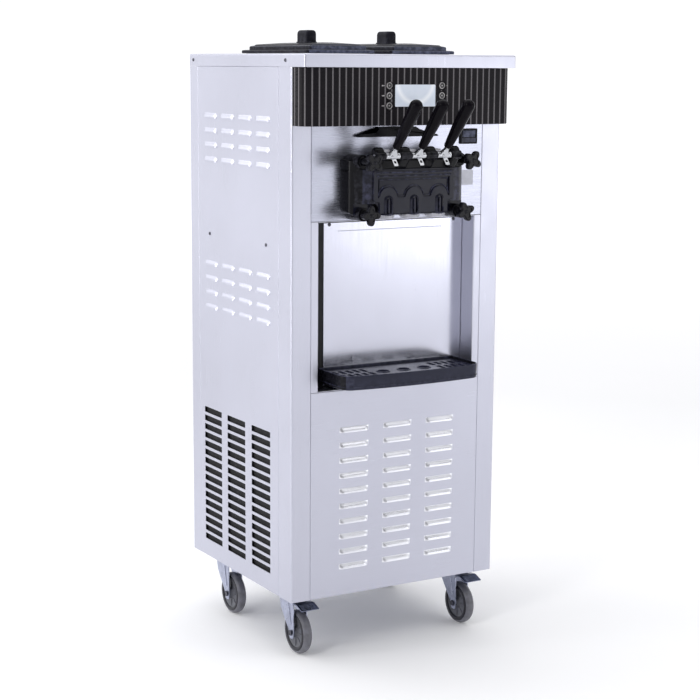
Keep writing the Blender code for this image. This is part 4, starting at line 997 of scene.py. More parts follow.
def fascia_keys():
    """Round keys: a dark cap with a pale ring, a dished middle and a raised dot."""
    low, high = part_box("key_left_1")
    radius = 0.0075
    for name, spot in key_spots().items():
        start = (spot.x, spot.y, spot.z)
        depth = high.y - low.y
        cap = lathe([(0, 0.0008), (radius - 0.0026, 0.0008), (radius - 0.0022, 0.0003),
                     (radius - 0.0020, 0.0012),
                     (radius - 0.0004, 0.0012), (radius, 0.0016), (radius, depth), (0, depth)], start, BACK, 40)
        ring = lathe([(radius - 0.0019, 0.0001), (radius - 0.0005, 0.0001), (radius - 0.0003, 0.0005),
                      (radius - 0.0003, 0.0013), (radius - 0.0021, 0.0013), (radius - 0.0021, 0.0005)],
                     start, BACK, 40)
        dot = lathe([(0, 0.0002), (0.0012, 0.0002), (0.0016, 0.0006), (0.0016, 0.0009), (0, 0.0009)],
                    start, BACK, 24)
        shapes = [cap, painted(ring, 1), painted(dot, 1)]
        piece(f"{name}_cap", joined(shapes), ["key_black", "key_ring"], name, [name])


def fascia_marks():
    """Plain dashes beside the keys, where the real fascia has its labels."""
    marks = []
    for name, spot in key_spots().items():
        way = -1 if spot.x < SCREEN_CENTRE.x else 1
        widths = (0.0070,) if way < 0 else (0.0030,)
        for width in widths:
            x = spot.x + way * (0.0120 + width / 2)
            y = HOUSING_LOW.y + FASCIA_BOW * (x / FASCIA_REACH) ** 2
            marks.append(softened(block((x - width / 2, y - 0.0002, spot.z - 0.0011),
                                        (x + width / 2, y + 0.0004, spot.z + 0.0011)), 0.0002, 1))
    piece("fascia_marks", joined(marks), "key_ring")


# ---- hoppers ------------------------------------------------------------------------------
def hopper_basins():
    wall = 0.0012
    for side, sign in SIDES:
        node = f"hopper_{side}"
        low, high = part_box(node)
        centre = ((low.x + high.x) / 2, (low.y + high.y) / 2)
        half_x, half_y = (high.x - low.x) / 2 - 0.008, (high.y - low.y) / 2 - 0.008
        basin_low = DECK_HIGH.z - 0.183
        rings = [(half_x - 0.010, half_y - 0.010, 0.010, basin_low),
                 (half_x, half_y, 0.019, basin_low + 0.008),
                 (half_x, half_y, 0.019, high.z - wall), (half_x + 0.008, half_y + 0.008, 0.025,
                                                          high.z - wall),
                 (half_x + 0.008, half_y + 0.008, 0.025, high.z), (half_x - wall, half_y - wall, 0.018,
                                                                   high.z),
                 (half_x - wall, half_y - wall, 0.018, basin_low + 0.009),
                 (half_x - 0.010, half_y - 0.010, 0.010, basin_low + 0.0015)]
        basin = loft([[Vector((x, y, z)) for x, y in rounded(a, b, r, centre)] for a, b, r, z in rings])
        tube_x = SPOUTS["left"] if sign < 0 else SPOUTS["right"]
        tube_y = centre[1] - 0.080
        feed = rod((tube_x, tube_y, low.z), (tube_x, tube_y, basin_low + 0.001), 0.013)
        collar = lathe([(0.0095, 0), (0.013, 0), (0.0135, 0.001), (0.0135, 0.003), (0.012, 0.004),
                        (0.0095, 0.004)],
                       (tube_x, tube_y, basin_low + 0.0010), UP)
        # A black disc over the feed's opening: painted shade inside the hole.
        drain_shade = painted(rod((tube_x, tube_y, basin_low + 0.0012), (tube_x, tube_y, basin_low + 0.0020),
                            0.0096), 1)
        piece(f"hopper_basin_{side}", joined([basin, feed, collar, drain_shade]), ["steel_inside", "shadow_black"],
              stands_for=[node])


def hopper_covers():
    """Lids vaulted from side to side: a rim, a raised middle with a small step and a block handle."""
    for side, _ in SIDES:
        node = f"hopper_lid_{side}"
        low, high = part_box(node)
        centre = Vector(((low.x + high.x) / 2, (low.y + high.y) / 2))
        half_x, half_y = (high.x - low.x) / 2, (high.y - low.y) / 2

        def ring(inset, height, rise, corner):
            """A level outline, its height arched by a rise over the lid's middle."""
            outline = rounded(half_x - inset, half_y - inset, corner, centre)
            return [Vector((x, y, height + rise * (1 - ((x - centre.x) / half_x) ** 2))) for x, y in outline]

        foot = low.z
        rim = loft([ring(0.0010, foot, 0, 0.008), ring(0, foot + 0.0010, 0, 0.009),
                    ring(0, foot + 0.0052, 0.0050, 0.009), ring(0.0008, foot + 0.0062, 0.0050, 0.008),
                    ring(0.0024, foot + 0.0066, 0.0050, 0.007), ring(0.0600, foot + 0.0066, 0.0050, 0.007)])
        body_low = foot + 0.0050
        body = loft([ring(0.0135, body_low, 0.0030, 0.008), ring(0.0135, body_low + 0.0070, 0.0070, 0.008),
                     ring(0.0142, body_low + 0.0082, 0.0072, 0.008), ring(0.0156, body_low + 0.0087, 0.0074,
                                                                          0.007),
                     ring(0.0230, body_low + 0.0089, 0.0080, 0.006), ring(0.0238, body_low + 0.0101, 0.0082,
                                                                          0.006),
                     ring(0.0254, body_low + 0.0105, 0.0084, 0.005), ring(0.0700, body_low + 0.0107, 0.0086, 0.005)])
        # Faces turned sideways or straight up take the darker slate: painted shade. Faces turned to the front stay
        # lighter.
        for shape in (rim, body):
            bmesh.ops.recalc_face_normals(shape, faces=shape.faces)
            shape.normal_update()
            for face in shape.faces:
                if abs(face.normal.x) > 0.6 or face.normal.z > 0.9:
                    face.material_index = 1
        handle_low = body_low + 0.0107 + 0.0050
        levels = [(0.0, handle_low), (0.0, high.z - 0.0090), (0.0006, high.z - 0.0050),
                  (0.0022, high.z - 0.0018),
                  (0.0046, high.z - 0.0003), (0.0070, high.z)]
        handle = loft([[Vector((x, y, z)) for x,
                        y in rounded(0.0130 - inset, 0.0250 - inset, 0.0058 - inset * 0.4,
                                                              centre)] for inset, z in levels])
        flare = loft([[Vector((x, y, z)) for x, y in rounded(0.0150 - inset, 0.0270 - inset, 0.007, centre)]
                      for inset, z in ((0.0, handle_low - 0.001), (0.0, handle_low + 0.0046),
                                       (0.0008, handle_low + 0.0058))])
        piece(f"hopper_cover_{side}", joined([rim, body, painted(handle, 1), painted(flare, 1)]),
              ["slate", "slate_dark"], node, [node], sharp=35)


# ---- dispensing head ----------------------------------------------------------------------
HEAD_FACE = FRONT - 0.060
HEAD_SET_BACK = FRONT - 0.0585
HEAD_BOTTOM = 1.003
HEAD_STEP = 1.105
HEAD_TOP = 1.124
NOTCH_DEPTH = 0.040
NOTCH_HALF, NOTCH_TOP = 0.090, 1.029
PISTON_Y = FRONT - 0.045
LUGS = ((-0.097, 0.0125), (-0.033, 0.0145), (0.033, 0.0145), (0.097, 0.0125))    # middle X, half width
LUG_TOP = 1.151
FIELD_HALF, FIELD_TOP = 0.092, 1.0835       # the sunk field on the face
BORDER_HALF, BORDER_TOP = 0.1035, 1.0995    # its raised border
BORDER_RISE = 0.0042
ARCH_RADIUS, ARCH_Z = 0.0220, 1.0420


def head_outline(front):
    """Plan of the head: its sides curve in from the cabinet to a slightly bowed face."""
    side = smooth_line([(0.151, FRONT - 0.0003), (0.150, FRONT - 0.015), (0.1455, FRONT - 0.030),
                        (0.1375, FRONT - 0.044), (0.126, front + 0.0055), (0.113, front)], 4)
    bow = [(0.113 * (1 - step / 8), front - 0.0015 * (1 - (1 - step / 8) ** 2)) for step in range(1, 9)]
    right = side + bow
    return right + [(-x, y) for x, y in reversed(right[:-1])]


def field_outline():
    """The sunk field on the head's face; its lower edge arches over the three spouts."""
    points = [(-FIELD_HALF, ARCH_Z)]
    for x in sorted(SPOUTS.values()):
        points += [(x - ARCH_RADIUS - 0.003, ARCH_Z), (x - ARCH_RADIUS, ARCH_Z + 0.003)]
        points += arc((x, ARCH_Z), ARCH_RADIUS, 168, 12, 16)
        points += [(x + ARCH_RADIUS, ARCH_Z + 0.003), (x + ARCH_RADIUS + 0.003, ARCH_Z)]
    return points + [(FIELD_HALF, ARCH_Z), (FIELD_HALF, FIELD_TOP), (-FIELD_HALF, FIELD_TOP)]


def head_frame():
    """The raised border of the field, a bead that repeats its inner edge, and two level ribs."""
    foot, front = HEAD_BOTTOM + 0.0040, HEAD_FACE - BORDER_RISE
    outer = [(-NOTCH_HALF + 0.002, foot), (NOTCH_HALF - 0.002, foot), (NOTCH_HALF - 0.002, NOTCH_TOP + 0.002),
             (BORDER_HALF, NOTCH_TOP + 0.006), (BORDER_HALF, BORDER_TOP), (-BORDER_HALF, BORDER_TOP),
             (-BORDER_HALF, NOTCH_TOP + 0.006), (-NOTCH_HALF + 0.002, NOTCH_TOP + 0.002)]
    border = prism(filleted(outer, 0.0025, True), front, HEAD_FACE + 0.002, "Y")
    border = carved(border, [prism(field_outline(), front - 0.01, HEAD_FACE + 0.01, "Y")])
    border = softened(border, 0.0010, 3, 40, lambda e: all(v.co.y < front + 1e-5 for v in e.verts))
    bead_line = shrunk(field_outline(), 0.0036)
    bead = tube([(x, HEAD_FACE - 0.0014, z) for x, z in bead_line], 0.0015, 8, True)
    ribs = [tube([(-reach, front, z), (reach, front, z)], 0.0016, 10)
            for z, reach in ((1.0955, 0.0975), (1.0885, 0.0955))]
    return [border, bead, *ribs]


def spout_housing(x):
    """A domed housing with an upright recess in its front."""
    radius, centre_y, low, shoulder, dome = 0.0165, FRONT - 0.0525, HEAD_BOTTOM - 0.0006, 1.0365, 0.0140
    profile = [(0, 0), (radius - 0.0015, 0), (radius, 0.0015)]
    profile += [(radius * cos(pi / 2 * s / 10),
                 shoulder - low + dome * sin(pi / 2 * s / 10)) for s in range(10)]
    profile.append((0, shoulder - low + dome))
    housing = lathe(profile, (x, centre_y, low), UP, 64)
    face = centre_y - radius
    half, foot, head = 0.0064, HEAD_BOTTOM + 0.004, 1.0360
    recess = [(x - half, foot), (x + half, foot), *arc((x, head), half, 0, 180, 16)]
    housing = carved(housing, [prism(recess, face - 0.01, face + 0.0060, "Y")])
    rib = prism([(x - 0.0024, foot + 0.001), (x + 0.0024, foot + 0.001), *arc((x, head), 0.0024, 0, 180, 8)],
                face + 0.0012, face + 0.008, "Y", 0.0010, 3)
    collar = lathe([(radius - 0.0005, 0), (radius + 0.0016, 0.0004), (radius + 0.0016, 0.0022),
                    (radius - 0.0005, 0.0026)], (x, centre_y, HEAD_BOTTOM + 0.0004), UP, 64)
    return [housing, rib, collar]


def pin_lug(x, half):
    """An ear with a round top behind the lever pin, and the barrel that the pin goes through."""
    crown, back = 0.0118, FRONT - 0.036
    outline = [(back, HEAD_TOP - 0.014), (HEAD_FACE + 0.004, HEAD_STEP - 0.007),
               (HEAD_FACE - 0.004, HEAD_STEP)]
    outline += arc((PIVOT_Y, PIVOT_Z), 0.0084, 250, 160, 8)
    outline += arc((PIVOT_Y + 0.009, LUG_TOP - crown), crown, 160, -10, 14)
    outline.append((back, HEAD_TOP + 0.001))
    ear = prism(outline, x - half + 0.0004, x + half - 0.0004, "X", 0.0062, 6)
    radius, length = 0.0094, 2 * half - 0.0004
    profile = [(0, 0), (radius - 0.0010, 0), (radius, 0.0010), (radius, length - 0.0010),
               (radius - 0.0010, length),
               (0, length)]
    return [ear, lathe(profile, (x - half + 0.0002, PIVOT_Y, PIVOT_Z), ACROSS, 40)]


def head_body():
    """The moulded block, with notches for the lower knobs and round lower corners at its back."""
    lower = prism(head_outline(HEAD_FACE), HEAD_BOTTOM, HEAD_STEP, ease=0.0032, steps=4)
    upper = prism(head_outline(HEAD_SET_BACK), HEAD_STEP - 0.012, HEAD_TOP, ease=0.0040, steps=5)
    notches, corners = [], []
    for _, sign in SIDES:
        outline = filleted([(NOTCH_HALF, 0.98), (NOTCH_HALF, NOTCH_TOP), (0.2, NOTCH_TOP), (0.2, 0.98)],
                           [0, 0.010, 0, 0], True)
        notches.append(prism([(sign * a, b) for a, b in outline], FRONT - 0.2, FRONT - NOTCH_DEPTH, "Y"))
        radius = 0.020
        outline = [(0.2, 0.9), (0.2, HEAD_BOTTOM + radius)]
        outline += arc((0.1515 - radius, HEAD_BOTTOM + radius), radius, 0, -90, 10)
        outline.append((0.1515 - radius, 0.9))
        corners.append(prism([(sign * a, b) for a, b in outline], FRONT - 0.2, FRONT + 0.1, "Y"))
    lower = carved(carved(lower, notches), corners)
    return [lower, upper]


def stud_bosses():
    shapes = []
    for spot in knob_spots().values():
        root = FRONT - 0.002
        length, step = root - spot.y, root - HEAD_FACE - 0.004
        radius, neck = 0.0150, 0.0088
        profile = [(0, 0), (radius, 0), (radius, step - 0.0020), (radius - 0.0006, step - 0.0006),
                   (radius - 0.0020, step), (neck + 0.0010, step), (neck, step + 0.0010),
                   (neck, length - 0.0010), (neck - 0.0010, length), (0, length)]
        shapes.append(lathe(profile, (spot.x, root, spot.z), (0, -1, 0)))
    return shapes


def dispensing_front():
    face_shapes = head_frame()
    for x in SPOUTS.values():
        face_shapes += spout_housing(x)
    body = head_body()
    for bm in body:
        bmesh.ops.recalc_face_normals(bm, faces=bm.faces)
        bm.normal_update()
    # Faces turned to the front, with the frame and the spout housings, take the lighter, bluer black: painted
    # reflection.
    for face in body[0].faces:
        if face.normal.y < -0.85:
            face.material_index = 1
    lugs = [shape for x, half in LUGS for shape in pin_lug(x, half)]
    shapes = body + lugs + stud_bosses() + [painted(shape, 1) for shape in face_shapes]
    piece("head_casting", joined(shapes), ["head_black", "head_slate"], stands_for=["dispensing_head"],
          sharp=40)


def nozzle_caps():
    """A pale ribbed cap under each spout with a six-pointed outlet."""
    top, height, radius = HEAD_BOTTOM + 0.0018, 0.0098, 0.0222
    for name, x in SPOUTS.items():
        profile = [(0, 0), (radius - 0.0044, 0), (radius - 0.0030, 0.0006), (radius - 0.0004, 0.0030),
                   (radius, 0.0040), (radius, height), (0, height)]
        cap = lathe(profile, (x, PISTON_Y, top - height), UP, 64)
        star = []
        for point in range(12):
            reach = 0.0075 if point % 2 == 0 else 0.0040
            star.append((x + reach * cos(pi * point / 6), PISTON_Y + reach * sin(pi * point / 6)))
        cap = carved(cap, [prism(filleted(star, 0.0005, True, 3), 0.95, 1.05)])
        ribs = []
        for number in range(24):
            turn = Matrix.Translation((x, PISTON_Y, 0)) @ Matrix.Rotation(2 * pi * number / 24, 4, "Z")
            rib = block((radius - 0.0006, -0.0007, top - 0.0060), (radius + 0.0008, 0.0007, top - 0.0008))
            ribs.append(moved(softened(rib, 0.0003, 1), turn))
        piece(f"nozzle_cap_{name}", joined([cap, *ribs]), "cap_grey")


def hinge_pin():
    half = PIN_HIGH.x
    profile = [(0, 0), (0.0040, 0), (0.0050, 0.0008), (0.0050, 0.0024), (0.0030, 0.0028),
               (0.0030, 2 * half - 0.0006), (0.0024, 2 * half), (0, 2 * half)]
    pin = lathe(profile, (PIN_LOW.x, PIVOT_Y, PIVOT_Z), ACROSS)
    piece("hinge_pin", pin, "chrome", stands_for=["lever_pin"])


LEVER_LEAN = radians(40.5)
TAB_LEAN = radians(40)
GRIP_START, GRIP_END, GRIP_ROUND = 0.024, 0.1568, 0.0143


def lever_point(x, distance):
    """A point on a lever's axis at a distance from the pin."""
    return Vector((x, PIVOT_Y - sin(LEVER_LEAN) * distance, PIVOT_Z + cos(LEVER_LEAN) * distance))


def lever_tab(x):
    """The flat tab with a square hole that hangs from the collar."""
    tab = prism(rounded(0.0055, 0.0115, 0.0022, (0, -0.0155)), -0.0012, 0.0012, "Y", 0.0003, 1)
    hole = prism(rounded(0.0028, 0.0034, 0.0005, (0, -0.0173), 2), -0.02, 0.02, "Y")
    hang = Matrix.Translation((x, PIVOT_Y, PIVOT_Z)) @ Matrix.Rotation(-TAB_LEAN, 4, "X")
    return moved(carved(tab, [hole]), hang)


def levers():
    """Chrome levers: a collar on the pin, a web up to the grip, a toe into the piston and a tab."""
    for name, x in SPOUTS.items():
        body = f"draw_lever_{name}"
        half = 0.0175
        profile = [(0.0033, 0), (0.0064, 0), (0.0072, 0.0008), (0.0072, 0.0042), (0.0067, 0.0047),
                   (0.0067, 0.0053), (0.0072, 0.0058)]
        profile += [(radius, 2 * half - along) for radius, along in reversed(profile)]
        collar = lathe(profile, (x - half, PIVOT_Y, PIVOT_Z), ACROSS)
        lean = Matrix.Translation((x, PIVOT_Y, PIVOT_Z)) @ Matrix.Rotation(LEVER_LEAN, 4, "X")
        levels = [(0.0118, 0.0062, 0.0010), (0.0114, 0.0060, 0.0062), (0.0084, 0.0056, 0.0110),
                  (0.0056, 0.0052, 0.0155), (0.0050, 0.0050, 0.0200)]
        web = loft([[Vector((a, b, z)) for a, b in rounded(across, deep, deep * 0.7)]
                    for across, deep, z in levels])
        web = moved(web, lean)
        tang = rod(lever_point(x, 0.010), lever_point(x, 0.084), 0.0048)
        toe_end = Vector((x, PISTON_Y, PIVOT_Z))
        toe = tube([(x, PIVOT_Y + 0.004, PIVOT_Z), (x, (PIVOT_Y + PISTON_Y) / 2, PIVOT_Z), toe_end], 0.0025,
                   16)
        ball = bmesh.new()
        bmesh.ops.create_uvsphere(ball, u_segments=24, v_segments=16, radius=0.0035,
                                  matrix=Matrix.Translation(toe_end))
        piece(f"lever_{name}", joined([collar, web, tang, toe, ball, lever_tab(x)]), "chrome", body, [body])
        length, foot = GRIP_END - GRIP_START, 0.0094
        profile = [(0, 0), (0.0070, 0), (0.0086, 0.0012), (foot, 0.0040), (foot, 0.0060),
                   (foot - 0.0004, 0.0070),
                   (foot, 0.0080)]
        profile += [(foot + (GRIP_ROUND - foot) * sin(pi / 2 * s / 8),
                     0.0080 + (length - GRIP_ROUND - 0.0080) * s / 8)
                    for s in range(1, 9)]
        profile += [(GRIP_ROUND * cos(pi / 2 * s / 10), length - GRIP_ROUND * (1 - sin(pi / 2 * s / 10)))
                    for s in range(1, 10)]
        profile.append((0, length))
        direction = lever_point(x, 1.0) - lever_point(x, 0.0)
        grip = lathe(profile, lever_point(x, GRIP_START), direction, 56)
        piece(f"grip_{name}", grip, "grip_black", body, [f"lever_grip_{name}"])


def pistons():
    """Valve rods with sealing rings in their grooves and the slot for the lever's toe."""
    for name, x in SPOUTS.items():
        node = f"draw_piston_{name}"
        low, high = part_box(node)
        radius, height = (high.x - low.x) / 2, high.z - low.z
        profile = [(0, 0), (radius - 0.0008, 0), (radius, 0.0008)]
        rings = []
        for ring in (0.008, 0.045, 0.098):
            profile += [(radius, ring - 0.002), (radius - 0.0015, ring - 0.0019),
                        (radius - 0.0015, ring + 0.0019),
                        (radius, ring + 0.002)]
            bead = [(radius - 0.0010 + 0.0011 * cos(2 * pi * s / 12), ring + 0.0014 * sin(2 * pi * s / 12))
                    for s in range(12)]
            rings.append(painted(lathe(bead, (x, PISTON_Y, low.z), UP), 1))
        profile += [(radius, height - 0.0020), (radius - 0.0006, height - 0.0006), (radius - 0.0020, height),
                    (0, height)]
        slot = block((x - 0.02, PISTON_Y - 0.02, PIVOT_Z - 0.008),
                     (x + 0.02, PISTON_Y + 0.0045, PIVOT_Z + 0.0065))
        rod_body = carved(lathe(profile, (x, PISTON_Y, low.z), UP), [slot])
        piece(f"piston_{name}", joined([rod_body, *rings]), ["white_plastic", "shadow_black"], node, [node],
              sharp=40)


def knob_star(spot, turn, scale=1.0):
    """The outline of a four-armed star with narrow waists."""
    points = 96
    outline = []
    for step in range(points):
        angle = 2 * pi * step / points
        lobe = (cos(4 * (angle - pi / 4)) + 1) / 2
        radius = (0.0118 + 0.0107 * lobe ** 0.75) * scale
        angle += radians(turn)
        outline.append((spot.x + radius * cos(angle), spot.z + radius * sin(angle)))
    return outline


def knobs():
    """Four-armed star knobs with a hollow face, a hub button and a tapered neck."""
    for name, spot in knob_spots().items():
        node = f"hand_knob_{name}"
        turn = KNOB_TURNS[name]
        front = spot.y - 0.026
        solid = prism(knob_star(spot, turn), front, front + 0.013, "Y", 0.0026, 5)
        solid = carved(solid, [prism(knob_star(spot, turn, 0.66), front - 0.01, front + 0.0016, "Y")])
        button = lathe([(0, 0), (0.0030, 0.0001), (0.0046, 0.0008), (0.0052, 0.0020), (0.0052, 0.0050),
                        (0, 0.0050)],
                       (spot.x, front + 0.0002, spot.z), BACK, 40)
        neck = lathe([(0, 0), (0.0115, 0), (0.0100, 0.0030), (0.0086, 0.0060), (0.0086, 0.0120),
                      (0.0080, 0.0127),
                      (0, 0.0127)], (spot.x, front + 0.0130, spot.z), BACK, 40)
        piece(f"knob_{name}", joined([solid, button, neck]), "knob_black", node, [node], sharp=40)


def panel_trims():
    """A thin black trapezoid on the panel over the levers, and the small switch plate beside them."""
    low_z, high_z = 1.1700, 1.1915
    outline = [(-0.1130, low_z), (0.0980, low_z), (0.0940, low_z + 0.0022), (0.0680, low_z + 0.0050),
               (0.0490, low_z + 0.0140), (0.0365, high_z), (-0.0580, high_z), (-0.0675, low_z + 0.0100),
               (-0.1100, low_z + 0.0065)]
    trapezoid = prism(filleted(outline, 0.0012, True, 3), FRONT - 0.0120, FRONT - 0.0003, "Y", 0.0012)
    piece("lever_trapezoid", trapezoid, "trim_black")
    centre, half_x, half_z = (0.1828, 1.1678), 0.0228, 0.0172
    bezel = prism(rounded(half_x, half_z, 0.0020, centre), FRONT - 0.0042, FRONT - 0.0003, "Y", 0.0006, 2)
    bezel = carved(bezel, [prism(rounded(half_x - 0.0028, half_z - 0.0028, 0.0012, centre), FRONT - 0.01,
                                 FRONT - 0.0030, "Y")])
    cover = softened(block((centre[0] - half_x + 0.0034, FRONT - 0.0038, centre[1] - half_z + 0.0034),
                           (centre[0] + half_x - 0.0034, FRONT - 0.0024, centre[1] - 0.0035)), 0.0004, 2)
    rocker = loft([[Vector((centre[0] + a, FRONT - 0.0028 - lift, centre[1] + b)) for a, b, lift in corners]
                   for corners in (
        [(-0.0175, -0.0025, -0.0006), (0.0175, -0.0025, -0.0006), (0.0175, 0.0130, -0.0006),
         (-0.0175, 0.0130, -0.0006)],
        [(-0.0172, -0.0022, 0.0002), (0.0172, -0.0022, 0.0002), (0.0172, 0.0127, 0.0022),
         (-0.0172, 0.0127, 0.0022)])])
    piece("switch_plate", joined([bezel, painted(cover, 1), painted(softened(rocker, 0.0003, 1), 2)]),
          ["trim_black", "tray_charcoal", "slate"])


def blank_label():
    """A small sticker beside the head, without print."""
    sticker = prism(rounded(0.0150, 0.0170, 0.0015, (0.1830, 1.0750)), FRONT - 0.0003, FRONT, "Y")
    piece("blank_label", sticker, "label")


# ---- drip tray ----------------------------------------------------------------------------
TRAY_LOW, TRAY_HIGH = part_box("drip_tray")
GRID_LOW, GRID_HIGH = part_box("drip_grid")


def tray_outline():
    """Plan of the tray: straight sides, round corners and a bowed front."""
    half, back, shoulder, face = TRAY_HIGH.x, TRAY_HIGH.y, FRONT - 0.046, TRAY_LOW.y
    corner, bow = 0.026, 0.010
    right = [*arc((half - 0.002, back - 0.002), 0.002, 90, 0, 3), (half, shoulder)]
    for step in range(1, 13):
        angle = pi / 2 * step / 12
        right.append((half - corner * (1 - cos(angle)), shoulder - (shoulder - face - bow) * sin(angle)))
    reach = half - corner
    for step in range(1, 17):
        x = reach * (1 - step / 16)
        right.append((x, face + bow * (x / reach) ** 2))
    return right + [(-x, y) for x, y in reversed(right[:-1])]


def tray():
    low, high = TRAY_LOW.z + 0.011, TRAY_HIGH.z
    runner_low = TRAY_LOW.z
    ledge = GRID_LOW.z - 0.0003
    levels = [(0.0060, low), (0.0026, low + 0.0008), (0.0010, low + 0.0036), (0.0, high - 0.0030),
              (0.0004, high - 0.0010), (0.0014, high), (0.0028, high), (0.0037, high - 0.0008), (0.0040,
                                                                                                 high - 0.002),
              (0.0040, ledge), (0.0080, ledge), (0.0080, low + 0.0065), (0.0100, low + 0.0045)]
    outline = tray_outline()
    basin = loft([[Vector((x, y, z)) for x, y in shrunk(outline, inset)] for inset, z in levels])
    groove = tube([(x, y, low + 0.0075) for x, y in outline], 0.0006, 6, True)
    runners = [softened(block((x - 0.006, FRONT + 0.004, runner_low),
                              (x + 0.006, FRONT + 0.046, low + 0.003)),
                        0.001, 2) for x in (-0.150, 0.150)]
    bmesh.ops.recalc_face_normals(basin, faces=basin.faces)
    basin.normal_update()
    # Faces turned to either side take the darker trim black: painted shade on the tray's ends.
    for face in basin.faces:
        if abs(face.normal.x) > 0.75:
            face.material_index = 1
    piece("tray_basin", joined([basin, groove, *runners]), ["tray_charcoal", "trim_black"], "drip_tray",
          ["drip_tray"], sharp=40)


def grid():
    plate_outline = shrunk(tray_outline(), 0.0046)
    base = prism(plate_outline, GRID_LOW.z, GRID_HIGH.z, ease=0.0006, steps=2)
    cutters, rims = [], []
    for sign in (-1, 1):
        for column in range(5):
            x = sign * (0.090 + 0.018 * column)
            for y in (FRONT - 0.045, FRONT - 0.003):
                cutters.append(prism(rounded(0.0040, 0.0150, 0.0039, (x, y), 5), 0.6, 0.7))
                rims.append(tube([(a, b, GRID_HIGH.z) for a, b in rounded(0.0048, 0.0158, 0.0047, (x, y), 4)],
                                 0.0007, 6, True))
    for x in (-0.054, 0.0, 0.054):
        cutters.append(prism(rounded(0.0125, 0.0125, 0.0124, (x, FRONT - 0.030), 12), 0.6, 0.7))
        ring = [(0.0127, 0), (0.0127, 0.0012), (0.0134, 0.0016), (0.0152, 0.0016), (0.0160, 0.0010),
                (0.0162, 0)]
        rims.append(lathe(ring, (x, FRONT - 0.030, GRID_HIGH.z - 0.0002), UP, 56))
        for spoke in range(4):
            turn = Matrix.Translation((x, FRONT - 0.030, GRID_LOW.z + 0.0012)) @ Matrix.Rotation(
                pi * spoke / 4, 4, "Z")
            rims.append(moved(softened(block((-0.0127, -0.0009, 0.0), (0.0127, 0.0009, 0.0022)), 0.0004, 1),
                              turn))
    piece("grid_plate", joined([carved(base, cutters), *rims]), "tray_charcoal", "drip_grid", ["drip_grid"],
          sharp=40)


# ---- casters ------------------------------------------------------------------------------
AXLE_Z = 0.050
TRAIL = 0.033
LEG_INNER, LEG_WALL = 0.0155, 0.003


def caster_names():
    """Each caster's name with the place of its swivel axis at its fork's top."""
    for end in ("front", "rear"):
        for side, _ in SIDES:
            wheel_low, wheel_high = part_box(f"caster_wheel_{end}_{side}")
            fork_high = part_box(f"caster_fork_{end}_{side}")[1]
            middle = (wheel_low + wheel_high) / 2
            yield f"{end}_{side}", Vector((middle.x, middle.y + TRAIL, fork_high.z))


def hex_nut(centre, across, thickness, direction):
    outline = [(across * cos(pi * n / 3), across * sin(pi * n / 3)) for n in range(6)]
    nut = prism(outline, 0, thickness, ease=0.0006, steps=2)
    turn = Vector(direction).to_track_quat("Z", "Y").to_matrix().to_4x4()
    return moved(nut, Matrix.Translation(centre) @ turn)


def fork(name, top):
    x, y, high = top
    axle_y = y - TRAIL
    head = lathe([(0, 0), (0.0250, 0), (0.0262, 0.0010), (0.0290, 0.0030), (0.0300, 0.0045), (0.0300, 0.0062),
                  (0.0288, 0.0068), (0.0288, 0.0074), (0.0300, 0.0080), (0.0300, 0.0092), (0.0292, 0.0100), (0, 0.0100)],
                 (x, y, high - 0.0100), UP, 56)
    crown = high - 0.009
    half = LEG_INNER + LEG_WALL
    bridge = prism(rounded(half, 0.032, 0.006, (x, y - 0.008)), crown - 0.004, crown, ease=0.0008, steps=2)
    corners = [(y - 0.040, crown), (y + 0.024, crown), (y + 0.018, 0.100), (axle_y + 0.0115, AXLE_Z + 0.002),
               (axle_y + 0.0080, AXLE_Z - 0.0145), (axle_y - 0.0080, AXLE_Z - 0.0145),
               (axle_y - 0.0115, AXLE_Z + 0.002), (y - 0.042, 0.100)]
    leg = filleted(corners, [0.002, 0.004, 0.020, 0.020, 0.0065, 0.0065, 0.020, 0.012], True, 6)
    shapes = [head, bridge]
    for low in (-half, LEG_INNER):
        shapes.append(prism(leg, x + low, x + low + LEG_WALL, "X", 0.0006, 2))
        outer = x + (low if low < 0 else low + LEG_WALL)
        way = -1 if low < 0 else 1
        rib = tube([(outer, y - 0.020, 0.117), (outer, axle_y + 0.001, 0.070)], 0.0018, 8)
        shapes.append(rib)
        shapes.append(painted(hex_nut((outer, axle_y, AXLE_Z), 0.0068, way * 0.0030, ACROSS), 1))
    shapes.append(painted(rod((x - half - 0.0029, axle_y, AXLE_Z), (x + half + 0.0029, axle_y, AXLE_Z),
                              0.0042), 1))
    body = f"caster_fork_{name}"
    piece(f"fork_{name}", joined(shapes), ["zinc_pale", "screw_steel"], body, [body], sharp=40)


